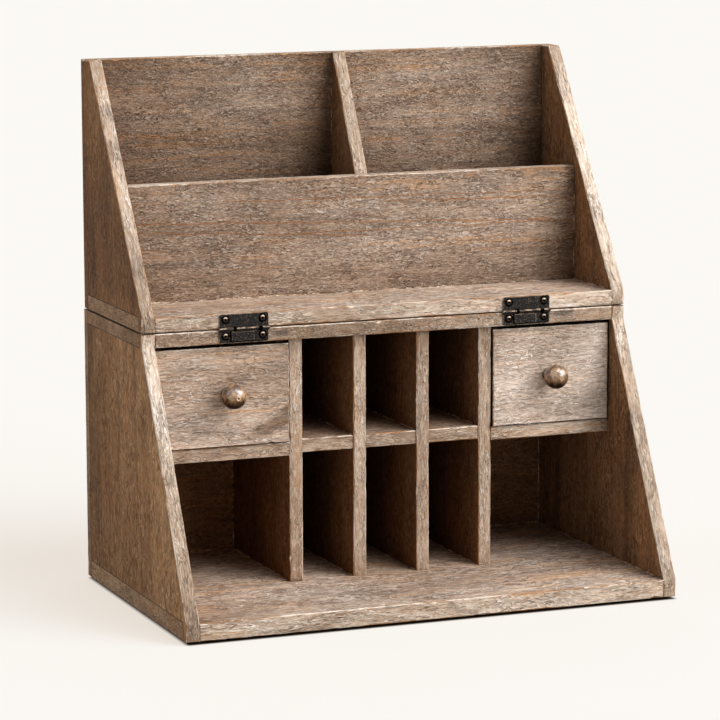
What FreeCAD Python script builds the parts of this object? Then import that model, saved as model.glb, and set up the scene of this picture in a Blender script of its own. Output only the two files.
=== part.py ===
import FreeCAD
import Part
import Sketcher
import math
import operator
import os
import types

# A desk caddy of old boards in two sections. The lower one holds two drawers, six pigeonholes and two
# open cubbies. The upper one is a letter rack that tips forward on a pair of surface hinges.
# The caddy stands on z = 0 and faces -Y. The origin is the middle of the space that it covers.
# Depths run forward from the rear face of the lower back panel. All lengths are millimetres.
SIZES = {
    # the whole caddy
    "caddy_width": 380.0,
    "lower_height": 204.0,
    "upper_height": 186.0,
    "section_gap": 1.0,
    # side panels: slanted fronts that stand upright over the ends of the boards
    "side_thickness": 10.0,
    "foot_depth": 232.0,
    "shoulder_depth": 140.0,
    "crown_depth": 20.0,
    "upper_set_in": 2.0,
    # horizontal boards, whose tongues go through notches in the side panels
    "bottom_thickness": 13.0,
    "top_thickness": 10.0,
    "upper_base_thickness": 11.0,
    "front_ear": 7.0,
    # back panels
    "lower_back_thickness": 9.0,
    "upper_back_thickness": 9.0,
    # letter rack
    "rack_height": 98.0,
    "rack_depth": 72.0,
    "rack_thickness": 12.0,
    "upper_divider_thickness": 10.0,
    "upper_divider_offset": 10.0,
    "upper_divider_crown": 14.0,
    # upright dividers and the shelves between them
    "divider_thickness": 10.0,
    "divider_depth": 134.0,
    "left_bay_width": 104.0,
    "pigeonhole_width": 40.0,
    "pigeonhole_shelf_top": 119.0,
    "pigeonhole_shelf_thickness": 10.0,
    "shelf_set_back": 1.0,
    "drawer_shelf_top": 117.5,
    "drawer_shelf_thickness": 10.0,
    # drawers: a front rebated over two sides, a back, and a floor in grooves
    "drawer_front_depth": 136.0,
    "drawer_front_thickness": 10.0,
    "drawer_side_gap": 1.0,
    "drawer_top_gap": 3.0,
    "slide_gap": 0.3,
    "stop_gap": 0.3,
    "drawer_side_thickness": 7.0,
    "drawer_back_thickness": 7.0,
    "drawer_back_drop": 9.0,
    "rebate_depth": 5.0,
    "floor_thickness": 4.0,
    "floor_lift": 6.0,
    "groove_depth": 3.5,
    # turned knobs and the screws that hold them from inside
    "knob_radius": 9.1,
    "knob_reach": 12.6,
    "collar_radius": 5.4,
    "collar_length": 1.4,
    "neck_radius": 4.3,
    "neck_bevel": 0.7,
    "nub_radius": 1.7,
    "nub_length": 0.4,
    "left_knob_rise": 2.2,
    "right_knob_rise": 0.4,
    "left_knob_offset": 4.2,
    "right_knob_offset": -1.4,
    "knob_bore_length": 11.0,
    "knob_screw_radius": 1.75,
    "knob_screw_engagement": 10.0,
    "knob_screw_tip": 1.5,
    "knob_screw_clearance": 0.25,
    "thread_clearance": 0.05,
    "knob_screw_head_radius": 3.6,
    "knob_screw_head_height": 2.2,
    "knob_screw_head_crown": 0.7,
    # hinges: two leaves rolled round one pin in front of the boards
    "left_hinge_offset": -113.0,
    "right_hinge_offset": 109.5,
    "leaf_width": 38.0,
    "upper_leaf_reach": 11.1,
    "lower_leaf_reach": 10.3,
    "leaf_thickness": 0.8,
    "leaf_relief": 0.25,
    "lower_leaf_corner": 3.0,
    "upper_leaf_corner": 1.2,
    "knuckle_radius": 1.3,
    "middle_knuckle_length": 18.0,
    "knuckle_gap": 0.3,
    "pin_radius": 0.65,
    "pin_clearance": 0.05,
    "pin_head_radius": 1.0,
    "pin_head_length": 0.6,
    "boss_width": 17.0,
    "boss_height": 6.4,
    "boss_rise": 1.0,
    "boss_offset": -1.0,
    "boss_margin": 1.6,
    "leaf_screw_spacing": 28.4,
    "upper_screw_offset": 7.1,
    "lower_screw_offset": 5.0,
    "leaf_hole_clearance": 0.2,
    "leaf_screw_radius": 1.1,
    "leaf_screw_length": 9.0,
    "leaf_screw_tip": 1.8,
    "leaf_screw_head_radius": 2.25,
    "leaf_screw_head_height": 1.1,
    "recess_width": 0.55,
    "recess_length": 2.4,
    "recess_depth": 0.5,
    "pilot_end_gap": 0.3,
    # brads through the lower back panel
    "brad_head_radius": 1.3,
    "brad_head_height": 0.7,
    "brad_radius": 0.8,
    "brad_length": 18.0,
    "brad_clearance": 0.05,
    # felt pads that lift the wood just off the desk
    "felt_radius": 9.0,
    "felt_thickness": 2.5,
    "felt_side_inset": 25.0,
    "felt_front_inset": 26.0,
    # planed edges and cutting
    "arris": 0.6,
    "overrun": 1.0,
}
# where the brads sit: up the side panels, and across the top and bottom boards
SIDE_BRAD_SHARES = (0.22, 0.5, 0.78)
BOARD_BRAD_SHARES = (-0.6, 0.0, 0.6)

doc = FreeCAD.newDocument("desk_caddy")
sheet = doc.addObject("Spreadsheet::Sheet", "sizes")
for row, (name, value) in enumerate(SIZES.items(), start=1):
    sheet.set(f"A{row}", name)
    sheet.set(f"B{row}", str(value))
    sheet.setAlias(f"B{row}", name)
doc.recompute()


class Measure:
    """A length that carries its formula, so that whatever is bound to it follows the sheet."""

    def __init__(self, formula, value):
        self.formula = formula
        self.value = value

    def __add__(self, other):
        return combined(self, "+", other)

    def __radd__(self, other):
        return combined(other, "+", self)

    def __sub__(self, other):
        return combined(self, "-", other)

    def __mul__(self, other):
        return combined(self, "*", other)

    def __truediv__(self, other):
        return combined(self, "/", other)

    def __neg__(self):
        return Measure(f"(-{self.formula})", -self.value)


SUMS = {"+": operator.add, "-": operator.sub, "*": operator.mul, "/": operator.truediv}


def as_measure(amount):
    if isinstance(amount, Measure):
        return amount
    return Measure(repr(float(amount)), float(amount))


def combined(left, sign, right):
    left = as_measure(left)
    right = as_measure(right)
    return Measure(f"({left.formula} {sign} {right.formula})", SUMS[sign](left.value, right.value))


def root(amount):
    return Measure(f"sqrt({amount.formula})", math.sqrt(amount.value))


def bind(thing, path, amount):
    """Ties one property of an object to a measure."""
    thing.setExpression(path, as_measure(amount).formula)


size = types.SimpleNamespace(**{name: Measure(f"sizes.{name}", value) for name, value in SIZES.items()})

# planes and lines that several pieces share
half_width = size.caddy_width / 2
inside = half_width - size.side_thickness
upper_base = size.lower_height + size.section_gap
upper_floor = upper_base + size.upper_base_thickness
crown = upper_base + size.upper_height
rack_top = upper_base + size.rack_height
lower_ceiling = size.lower_height - size.top_thickness
upper_back_front = size.upper_set_in + size.upper_back_thickness
upper_crown_front = size.upper_set_in + size.crown_depth
rack_rear = size.rack_depth - size.rack_thickness
pin_height = size.lower_height + size.section_gap / 2


def ahead(depth):
    """The y of a plane that lies this far in front of the caddy's rear face."""
    return size.foot_depth / 2 - depth


parts = []
AXES = {"XY_Plane": ("x", "y", "z"), "XZ_Plane": ("x", "z", "y"), "YZ_Plane": ("y", "z", "x")}
TOUCHING = 1e-4


def place(thing, x=0, y=0, z=0):
    """Every piece is drawn with the underside of the wood at height 0, and then stands on the felt pads."""
    for axis, amount in (("x", x), ("y", y), ("z", size.felt_thickness + z)):
        bind(thing, f"Placement.Base.{axis}", amount)


def new_body(name, kept=True):
    body = doc.addObject("PartDesign::Body", name)
    body.Label = name
    place(body)
    if kept:
        parts.append(body)
    return body


def new_sketch(body, plane, lift=0):
    """A sketch on one of the body's own planes, lifted along that plane's normal."""
    sketch = body.newObject("Sketcher::SketchObject", f"{body.Name}_sketch")
    support = next(item for item in body.Origin.OriginFeatures if item.Role == plane)
    sketch.AttachmentSupport = [(support, "")]
    sketch.MapMode = "FlatFace"
    bind(sketch, "AttachmentOffset.Base.z", lift)
    return sketch


def hold_point(sketch, item, end, point):
    """Holds one end or centre of a sketch's item at a point given in measures."""
    for kind, axis, amount in (("DistanceX", -2, point[0]), ("DistanceY", -1, point[1])):
        amount = as_measure(amount)
        if amount.value == 0:
            sketch.addConstraint(Sketcher.Constraint("PointOnObject", item, end, axis))
        else:
            index = sketch.addConstraint(Sketcher.Constraint(kind, -1, 1, item, end, amount.value))
            bind(sketch, f"Constraints[{index}]", amount)


def spot(point):
    return FreeCAD.Vector(as_measure(point[0]).value, as_measure(point[1]).value, 0)


def draw_outline(sketch, points, domes=()):
    """A closed outline. The stretch after a point listed in domes is an arc about the sketch's X axis,
    which runs anticlockwise where its sign is 1 and clockwise where it is -1."""
    domes = dict(domes)
    ends = []
    for n, point in enumerate(points):
        start = spot(point)
        stop = spot(points[(n + 1) % len(points)])
        if n in domes:
            reach = ((stop.x**2 + stop.y**2) - (start.x**2 + start.y**2)) / (2 * (stop.x - start.x))
            centre = FreeCAD.Vector(reach, 0, 0)
            circle = Part.Circle(centre, FreeCAD.Vector(0, 0, 1), (start - centre).Length)
            first, last = (start, stop) if domes[n] > 0 else (stop, start)
            item = Part.ArcOfCircle(circle, circle.parameter(first), circle.parameter(last))
            ends.append((1, 2) if domes[n] > 0 else (2, 1))
        else:
            item = Part.LineSegment(start, stop)
            ends.append((1, 2))
        sketch.addGeometry(item, False)
        if n in domes:
            sketch.addConstraint(Sketcher.Constraint("PointOnObject", n, 3, -1))
    for n, point in enumerate(points):
        following = (n + 1) % len(points)
        sketch.addConstraint(Sketcher.Constraint("Coincident", n, ends[n][1], following, ends[following][0]))
        hold_point(sketch, n, ends[n][0], point)


def draw_circles(sketch, centres, radius):
    for n, centre in enumerate(centres):
        circle = Part.Circle(spot(centre), FreeCAD.Vector(0, 0, 1), radius.value)
        sketch.addGeometry(circle, False)
        hold_point(sketch, n, 3, centre)
        index = sketch.addConstraint(Sketcher.Constraint("Radius", n, radius.value))
        bind(sketch, f"Constraints[{index}]", radius)


def add_feature(body, kind, sketch):
    feature = body.newObject(f"PartDesign::{kind}", f"{body.Name}_{kind.lower()}")
    if sketch is not None:
        feature.Profile = sketch
    body.Tip = feature
    return feature


def pad(body, sketch, length):
    feature = add_feature(body, "Pad", sketch)
    bind(feature, "Length", length)
    doc.recompute()


def pocket(body, sketch, depth):
    """Cuts along the sketch plane's normal, and makes sure that something was cut."""
    doc.recompute()
    before = body.Shape.Volume
    feature = add_feature(body, "Pocket", sketch)
    feature.Reversed = True
    bind(feature, "Length", depth)
    doc.recompute()
    if not feature.Shape.Volume < before:
        raise RuntimeError(f"a pocket in {body.Label} cuts nothing")


def turn(body, points, plane="YZ_Plane", domes=()):
    """A turned piece: half its section, revolved round the sketch's X axis."""
    sketch = new_sketch(body, plane)
    draw_outline(sketch, points, domes)
    feature = add_feature(body, "Revolution", sketch)
    feature.ReferenceAxis = (sketch, ["H_Axis"])
    feature.Angle = 360
    doc.recompute()


def slab(name, plane, points, lift, thickness):
    """A board sawn to an outline."""
    body = new_body(name)
    sketch = new_sketch(body, plane, lift)
    draw_outline(sketch, points)
    pad(body, sketch, thickness)
    return body


def rectangle(left, right, low, high):
    return [(left, low), (right, low), (right, high), (left, high)]


def on_stretch(point, start, stop):
    run = stop - start
    share = (point - start).dot(run) / run.dot(run)
    return -TOUCHING < share < 1 + TOUCHING and (start + run * share - point).Length < TOUCHING


def plane_off(body, plane, stretches, level=None):
    """Takes the sharpness off the edges that lie along the given stretches of the outline."""
    across, up, out = AXES[plane]
    base = body.Tip
    names = []
    for n, edge in enumerate(base.Shape.Edges, start=1):
        tips = [vertex.Point for vertex in edge.Vertexes]
        flat = [FreeCAD.Vector(getattr(tip, across), getattr(tip, up), 0) for tip in tips]
        heights = [getattr(tip, out) for tip in tips]
        if len(tips) < 2 or (flat[0] - flat[1]).Length < TOUCHING:
            continue
        if level is not None and abs(heights[0] - as_measure(level).value) > TOUCHING:
            continue
        if any(all(on_stretch(tip, spot(a), spot(b)) for tip in flat) for a, b in stretches):
            names.append(f"Edge{n}")
    feature = add_feature(body, "Chamfer", None)
    feature.Base = (base, names)
    bind(feature, "Size", size.arris)
    doc.recompute()


def round_corners(body, plane, corners, radius):
    """Rounds the corners of a plate, seen square to its plane."""
    across, up, out = AXES[plane]
    base = body.Tip
    names = []
    for n, edge in enumerate(base.Shape.Edges, start=1):
        tips = [vertex.Point for vertex in edge.Vertexes]
        flat = [FreeCAD.Vector(getattr(tip, across), getattr(tip, up), 0) for tip in tips]
        if len(tips) == 2 and any(all((tip - spot(c)).Length < TOUCHING for tip in flat) for c in corners):
            names.append(f"Edge{n}")
    feature = add_feature(body, "Fillet", None)
    feature.Base = (base, names)
    bind(feature, "Radius", radius)
    doc.recompute()


# Lower side panels: each is notched below and above for the tongues of the bottom and top boards.
lower_side_outline = [
    (ahead(size.lower_back_thickness), 0),
    (ahead(size.foot_depth), 0),
    (ahead(size.foot_depth), size.bottom_thickness),
    (ahead(size.shoulder_depth), lower_ceiling),
    (ahead(size.shoulder_depth), size.lower_height),
    (ahead(size.lower_back_thickness), size.lower_height),
]
bottom_tongue_front = size.foot_depth - size.front_ear
shoulder_tongue_front = size.shoulder_depth - size.front_ear
side_brad_heights = [size.lower_height * share for share in SIDE_BRAD_SHARES]
brad_hole_radius = size.brad_radius + size.brad_clearance
brad_hole_depth = size.brad_length + size.pilot_end_gap

for name, left in (("lower_side_left", -half_width), ("lower_side_right", inside)):
    panel = slab(name, "YZ_Plane", lower_side_outline, 0, size.side_thickness)
    plane_off(panel, "YZ_Plane", [(lower_side_outline[n], lower_side_outline[n + 1]) for n in (1, 2, 3)])
    sketch = new_sketch(panel, "YZ_Plane", -size.overrun)
    draw_outline(sketch, rectangle(ahead(bottom_tongue_front), ahead(0), -size.overrun, size.bottom_thickness))
    pocket(panel, sketch, size.side_thickness + size.overrun * 2)
    sketch = new_sketch(panel, "YZ_Plane", -size.overrun)
    draw_outline(sketch, rectangle(ahead(shoulder_tongue_front), ahead(0),
                                   lower_ceiling, size.lower_height + size.overrun))
    pocket(panel, sketch, size.side_thickness + size.overrun * 2)
    # pilot holes for the brads that come through the back panel
    sketch = new_sketch(panel, "XZ_Plane", -ahead(0))
    draw_circles(sketch, [(size.side_thickness / 2, z) for z in side_brad_heights], brad_hole_radius)
    pocket(panel, sketch, brad_hole_depth)
    place(panel, x=left)


def tongued_board(name, rear, front, tongue_front, underside, thickness):
    """A board between the side panels, with a tongue at each end that fills a notch."""
    outline = [
        (-inside, ahead(front)),
        (inside, ahead(front)),
        (inside, ahead(tongue_front)),
        (half_width, ahead(tongue_front)),
        (half_width, ahead(rear)),
        (-half_width, ahead(rear)),
        (-half_width, ahead(tongue_front)),
        (-inside, ahead(tongue_front)),
    ]
    board = slab(name, "XY_Plane", outline, underside, thickness)
    plane_off(board, "XY_Plane", [(outline[0], outline[1])])
    return board


def drill_brads(board, height):
    sketch = new_sketch(board, "XZ_Plane", -ahead(0))
    draw_circles(sketch, [(inside * share, height) for share in BOARD_BRAD_SHARES], brad_hole_radius)
    pocket(board, sketch, brad_hole_depth)


# Screws of the hinges: where they enter the boards, and how deep.
hinge_places = {"left": size.left_hinge_offset, "right": size.right_hinge_offset}
screw_steps = (-size.leaf_screw_spacing / 2, size.leaf_screw_spacing / 2)
pilot_radius = size.leaf_screw_radius + size.thread_clearance
pilot_depth = size.leaf_screw_length + size.leaf_screw_tip - size.leaf_thickness + size.pilot_end_gap


def drill_pilots(board, height):
    """Pilot holes for the hinge screws, from the board's front face backwards."""
    sketch = new_sketch(board, "XZ_Plane", -ahead(size.shoulder_depth) - pilot_depth)
    places = [(x + step, height) for x in hinge_places.values() for step in screw_steps]
    draw_circles(sketch, places, pilot_radius)
    pocket(board, sketch, pilot_depth + size.overrun)


# Bottom and top boards of the lower section.
bottom_board = tongued_board("bottom_board", size.lower_back_thickness, size.foot_depth,
                             bottom_tongue_front, 0, size.bottom_thickness)
drill_brads(bottom_board, size.bottom_thickness / 2)
lower_top_board = tongued_board("lower_top_board", size.lower_back_thickness, size.shoulder_depth,
                                shoulder_tongue_front, lower_ceiling, size.top_thickness)
drill_brads(lower_top_board, lower_ceiling + size.top_thickness / 2)
drill_pilots(lower_top_board, pin_height - size.lower_screw_offset)

# Lower back panel: it covers the rear edges of the side panels and is held by brads.
lower_back_outline = rectangle(-half_width, half_width, 0, size.lower_height)
lower_back_panel = slab("lower_back_panel", "XZ_Plane", lower_back_outline, -ahead(0),
                        size.lower_back_thickness)
plane_off(lower_back_panel, "XZ_Plane", list(zip(lower_back_outline, lower_back_outline[1:])) +
          [(lower_back_outline[3], lower_back_outline[0])], ahead(0))
edge_line = half_width - size.side_thickness / 2
brad_places = [(side * edge_line, z) for side in (Measure("-1", -1), Measure("1", 1)) for z in side_brad_heights]
brad_places += [(inside * share, size.bottom_thickness / 2) for share in BOARD_BRAD_SHARES]
brad_places += [(inside * share, lower_ceiling + size.top_thickness / 2) for share in BOARD_BRAD_SHARES]
for radius, depth in ((brad_hole_radius, size.lower_back_thickness),
                      (size.brad_head_radius + size.brad_clearance, size.brad_head_height)):
    sketch = new_sketch(lower_back_panel, "XZ_Plane", -ahead(0) - size.overrun)
    draw_circles(sketch, brad_places, radius)
    pocket(lower_back_panel, sketch, depth + size.overrun)


def group(name, bodies):
    """Like fasteners that share one node and stay separate solids."""
    bunch = doc.addObject("Part::Compound", name)
    bunch.Label = name
    bunch.Links = bodies
    parts.append(bunch)


# Brads: flat-headed, driven in until the head is level with the back panel.
brads = []
for n, (x, z) in enumerate(brad_places, start=1):
    brad = new_body(f"brad_{n}", kept=False)
    turn(brad, [
        (0, 0),
        (0, size.brad_head_radius),
        (-size.brad_head_height, size.brad_head_radius),
        (-size.brad_head_height, size.brad_radius),
        (-size.brad_length, size.brad_radius),
        (-size.brad_length, 0),
    ])
    place(brad, x, ahead(0), z)
    brads.append(brad)
group("back_brads", brads)

# Felt pads, stuck under the corners of the bottom board and set back out of sight.
felt_x = half_width - size.felt_side_inset
felt_y = size.foot_depth / 2 - size.felt_front_inset
felts = []
felt_places = [(-felt_x, -felt_y), (felt_x, -felt_y), (-felt_x, felt_y), (felt_x, felt_y)]
for n, (x, y) in enumerate(felt_places, start=1):
    felt = new_body(f"felt_{n}", kept=False)
    sketch = new_sketch(felt, "XY_Plane", -size.felt_thickness)
    draw_circles(sketch, [(x, y)], size.felt_radius)
    pad(felt, sketch, size.felt_thickness)
    felts.append(felt)
group("felt_pads", felts)

# Four upright dividers, and between them the shelves that make six pigeonholes.
pitch = size.pigeonhole_width + size.divider_thickness
first_divider = size.left_bay_width - inside
divider_outline = rectangle(ahead(size.divider_depth), ahead(size.lower_back_thickness),
                            size.bottom_thickness, lower_ceiling)
divider_names = ("divider_left_outer", "divider_left_inner", "divider_right_inner", "divider_right_outer")
for n, name in enumerate(divider_names):
    divider = slab(name, "YZ_Plane", divider_outline, 0, size.divider_thickness)
    plane_off(divider, "YZ_Plane", [(divider_outline[0], divider_outline[3])])
    place(divider, x=first_divider + pitch * n)

shelf_outline = rectangle(0, size.pigeonhole_width, ahead(size.divider_depth - size.shelf_set_back),
                          ahead(size.lower_back_thickness))
shelf_names = ("pigeonhole_shelf_left", "pigeonhole_shelf_middle", "pigeonhole_shelf_right")
for n, name in enumerate(shelf_names):
    shelf = slab(name, "XY_Plane", shelf_outline, size.pigeonhole_shelf_top - size.pigeonhole_shelf_thickness,
                 size.pigeonhole_shelf_thickness)
    plane_off(shelf, "XY_Plane", [(shelf_outline[0], shelf_outline[1])])
    place(shelf, x=first_divider + size.divider_thickness + pitch * n)

# Shelves that carry the drawers, over the open cubbies.
last_divider_right = first_divider + pitch * 3 + size.divider_thickness
bays = {"left": (-inside, first_divider), "right": (last_divider_right, inside)}
for side, (left, right) in bays.items():
    outline = rectangle(left, right, ahead(size.divider_depth), ahead(size.lower_back_thickness))
    shelf = slab(f"drawer_shelf_{side}", "XY_Plane", outline,
                 size.drawer_shelf_top - size.drawer_shelf_thickness, size.drawer_shelf_thickness)
    plane_off(shelf, "XY_Plane", [(outline[0], outline[1])])

# Drawers. The floor slides into grooves under the back, and the front is rebated over the sides.
drawer_low = size.drawer_shelf_top + size.slide_gap
drawer_high = lower_ceiling - size.drawer_top_gap
floor_low = drawer_low + size.floor_lift
floor_high = floor_low + size.floor_thickness
front_rear = size.drawer_front_depth - size.drawer_front_thickness
drawer_rear = size.lower_back_thickness + size.stop_gap
knob_offsets = {"left": size.left_knob_offset, "right": size.right_knob_offset}
knob_rises = {"left": size.left_knob_rise, "right": size.right_knob_rise}

for side, (left, right) in bays.items():
    low_x = left + size.drawer_side_gap
    high_x = right - size.drawer_side_gap
    inner_low = low_x + size.drawer_side_thickness
    inner_high = high_x - size.drawer_side_thickness
    knob_x = (low_x + high_x) / 2 + knob_offsets[side]
    knob_height = (drawer_low + drawer_high) / 2 + knob_rises[side]

    face = rectangle(low_x, high_x, drawer_low, drawer_high)
    front = slab(f"drawer_{side}_front", "XZ_Plane", face, -ahead(front_rear), size.drawer_front_thickness)
    plane_off(front, "XZ_Plane", list(zip(face, face[1:])) + [(face[3], face[0])],
              ahead(size.drawer_front_depth))
    for start, stop in ((low_x - size.overrun, inner_low), (inner_high, high_x + size.overrun)):
        sketch = new_sketch(front, "XZ_Plane", -ahead(front_rear) - size.overrun)
        draw_outline(sketch, rectangle(start, stop, drawer_low - size.overrun, drawer_high + size.overrun))
        pocket(front, sketch, size.rebate_depth + size.overrun)
    sketch = new_sketch(front, "XZ_Plane", -ahead(front_rear) - size.overrun)
    draw_outline(sketch, rectangle(inner_low, inner_high, floor_low, floor_high))
    pocket(front, sketch, size.groove_depth + size.overrun)
    sketch = new_sketch(front, "XZ_Plane", -ahead(front_rear) - size.overrun)
    draw_circles(sketch, [(knob_x, knob_height)], size.knob_screw_radius + size.knob_screw_clearance)
    pocket(front, sketch, size.drawer_front_thickness + size.overrun * 2)

    cheek = rectangle(ahead(front_rear + size.rebate_depth), ahead(drawer_rear), drawer_low, drawer_high)
    for hand, start, groove_start in (("left", low_x, size.drawer_side_thickness - size.groove_depth),
                                      ("right", inner_high, -size.overrun)):
        board = slab(f"drawer_{side}_side_{hand}", "YZ_Plane", cheek, 0, size.drawer_side_thickness)
        sketch = new_sketch(board, "YZ_Plane", groove_start)
        draw_outline(sketch, rectangle(ahead(front_rear + size.rebate_depth) - size.overrun,
                                       ahead(drawer_rear) + size.overrun, floor_low, floor_high))
        pocket(board, sketch, size.groove_depth + size.overrun)
        place(board, x=start)

    slab(f"drawer_{side}_back", "XZ_Plane",
         rectangle(inner_low, inner_high, floor_high, drawer_high - size.drawer_back_drop),
         -ahead(drawer_rear), size.drawer_back_thickness)
    slab(f"drawer_{side}_floor", "XY_Plane",
         rectangle(inner_low - size.groove_depth, inner_high + size.groove_depth,
                   ahead(front_rear + size.groove_depth), ahead(drawer_rear)),
         floor_low, size.floor_thickness)

    # The knob is one turning: a collar on the drawer front, a short neck, a ball and a small nub.
    knob = new_body(f"drawer_{side}_knob")
    ball_rear = size.knob_reach - root(size.knob_radius * size.knob_radius - size.neck_radius * size.neck_radius)
    ball_front = size.knob_reach + root(size.knob_radius * size.knob_radius - size.nub_radius * size.nub_radius)
    nub_front = size.knob_reach + size.knob_radius + size.nub_length
    bore_radius = size.knob_screw_radius + size.thread_clearance
    turn(knob, [
        (0, bore_radius),
        (0, size.collar_radius),
        (-size.collar_length, size.collar_radius),
        (-size.collar_length - size.neck_bevel, size.neck_radius),
        (-ball_rear, size.neck_radius),
        (-ball_front, size.nub_radius),
        (-nub_front, size.nub_radius),
        (-nub_front, 0),
        (-size.knob_bore_length - bore_radius, 0),
        (-size.knob_bore_length, bore_radius),
    ], domes={4: 1})
    place(knob, knob_x, ahead(size.drawer_front_depth), knob_height)

    # Its screw has a raised head inside the drawer.
    screw = new_body(f"drawer_{side}_knob_screw")
    screw_reach = size.drawer_front_thickness + size.knob_screw_engagement
    turn(screw, [
        (size.knob_screw_head_height, 0),
        (size.knob_screw_head_height - size.knob_screw_head_crown, size.knob_screw_head_radius),
        (0, size.knob_screw_head_radius),
        (0, size.knob_screw_radius),
        (-screw_reach + size.knob_screw_tip, size.knob_screw_radius),
        (-screw_reach, 0),
    ], domes={0: 1})
    place(screw, knob_x, ahead(front_rear), knob_height)

# Upper section: slanted side panels notched below for the base board.
upper_side_outline = [
    (ahead(size.upper_set_in), upper_base),
    (ahead(size.shoulder_depth), upper_base),
    (ahead(size.shoulder_depth), upper_floor),
    (ahead(upper_crown_front), crown),
    (ahead(size.upper_set_in), crown),
]
for name, left in (("upper_side_left", -half_width), ("upper_side_right", inside)):
    panel = slab(name, "YZ_Plane", upper_side_outline, 0, size.side_thickness)
    plane_off(panel, "YZ_Plane", [(upper_side_outline[n], upper_side_outline[n + 1]) for n in (1, 2, 3)])
    sketch = new_sketch(panel, "YZ_Plane", -size.overrun)
    draw_outline(sketch, rectangle(ahead(shoulder_tongue_front), ahead(upper_back_front),
                                   upper_base - size.overrun, upper_floor))
    pocket(panel, sketch, size.side_thickness + size.overrun * 2)
    place(panel, x=left)

upper_base_board = tongued_board("upper_base_board", upper_back_front, size.shoulder_depth,
                                 shoulder_tongue_front, upper_base, size.upper_base_thickness)
drill_pilots(upper_base_board, pin_height + size.upper_screw_offset)

# Upper back panel, between the side panels, and the board that makes the front pocket.
upper_back_outline = rectangle(-inside, inside, upper_base, crown)
upper_back_panel = slab("upper_back_panel", "XZ_Plane", upper_back_outline, -ahead(size.upper_set_in),
                        size.upper_back_thickness)
plane_off(upper_back_panel, "XZ_Plane", [(upper_back_outline[2], upper_back_outline[3])])
rack_outline = rectangle(-inside, inside, upper_floor, rack_top)
rack_panel = slab("rack_panel", "XZ_Plane", rack_outline, -ahead(rack_rear), size.rack_thickness)
plane_off(rack_panel, "XZ_Plane", [(rack_outline[2], rack_outline[3])])

# The divider behind it, cut to a slant above the rack panel.
upper_divider_outline = [
    (ahead(upper_back_front), upper_floor),
    (ahead(rack_rear), upper_floor),
    (ahead(rack_rear), rack_top),
    (ahead(size.upper_divider_crown), crown),
    (ahead(upper_back_front), crown),
]
upper_divider = slab("upper_divider", "YZ_Plane", upper_divider_outline, 0, size.upper_divider_thickness)
plane_off(upper_divider, "YZ_Plane", [(upper_divider_outline[2], upper_divider_outline[3])])
place(upper_divider, x=size.upper_divider_offset - size.upper_divider_thickness / 2)

# Hinges. Each leaf is drawn about the pin's height, with its rear face on y = 0, and lies on the boards.
leaf_half = size.leaf_width / 2
middle_half = size.middle_knuckle_length / 2
outer_start = middle_half + size.knuckle_gap
leaf_cut = size.knuckle_radius + size.leaf_relief
knuckle_bore = size.pin_radius + size.pin_clearance
leaf_hole = size.leaf_screw_radius + size.leaf_hole_clearance
lower_leaf_outline = [
    (-leaf_half, -size.lower_leaf_reach),
    (leaf_half, -size.lower_leaf_reach),
    (leaf_half, 0),
    (outer_start, 0),
    (outer_start, -leaf_cut),
    (-outer_start, -leaf_cut),
    (-outer_start, 0),
    (-leaf_half, 0),
]
upper_leaf_outline = [
    (-middle_half, 0),
    (middle_half, 0),
    (middle_half, leaf_cut),
    (leaf_half, leaf_cut),
    (leaf_half, size.upper_leaf_reach),
    (-leaf_half, size.upper_leaf_reach),
    (-leaf_half, leaf_cut),
    (-middle_half, leaf_cut),
]


def roll_knuckle(leaf, start, length):
    """A knuckle rolled from the leaf's edge, round the pin."""
    sketch = new_sketch(leaf, "YZ_Plane", start)
    draw_circles(sketch, [(-size.knuckle_radius, 0)], size.knuckle_radius)
    pad(leaf, sketch, length)


def finish_leaf(leaf, x, screw_height):
    """Bores the knuckles for the pin and the leaf for its screws."""
    sketch = new_sketch(leaf, "YZ_Plane", -leaf_half - size.overrun)
    draw_circles(sketch, [(-size.knuckle_radius, 0)], knuckle_bore)
    pocket(leaf, sketch, size.leaf_width + size.overrun * 2)
    sketch = new_sketch(leaf, "XZ_Plane", -size.overrun)
    draw_circles(sketch, [(step, screw_height) for step in screw_steps], leaf_hole)
    pocket(leaf, sketch, size.leaf_thickness + size.overrun * 2)
    place(leaf, x, ahead(size.shoulder_depth), pin_height)


def leaf_screw(name, x, z):
    """A round-headed screw with a cross recess."""
    screw = new_body(name, kept=False)
    turn(screw, [
        (-size.leaf_screw_head_height, 0),
        (0, size.leaf_screw_head_radius),
        (0, size.leaf_screw_radius),
        (size.leaf_screw_length, size.leaf_screw_radius),
        (size.leaf_screw_length + size.leaf_screw_tip, 0),
    ], domes={0: -1})
    arm = size.recess_length / 2
    bar = size.recess_width / 2
    cross = [(-arm, -bar), (-bar, -bar), (-bar, -arm), (bar, -arm), (bar, -bar), (arm, -bar),
             (arm, bar), (bar, bar), (bar, arm), (-bar, arm), (-bar, bar), (-arm, bar)]
    sketch = new_sketch(screw, "XZ_Plane", size.leaf_screw_head_height - size.recess_depth)
    draw_outline(sketch, cross)
    pocket(screw, sketch, size.recess_depth + size.overrun)
    place(screw, x, ahead(size.shoulder_depth + size.leaf_thickness), z)
    return screw


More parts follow.
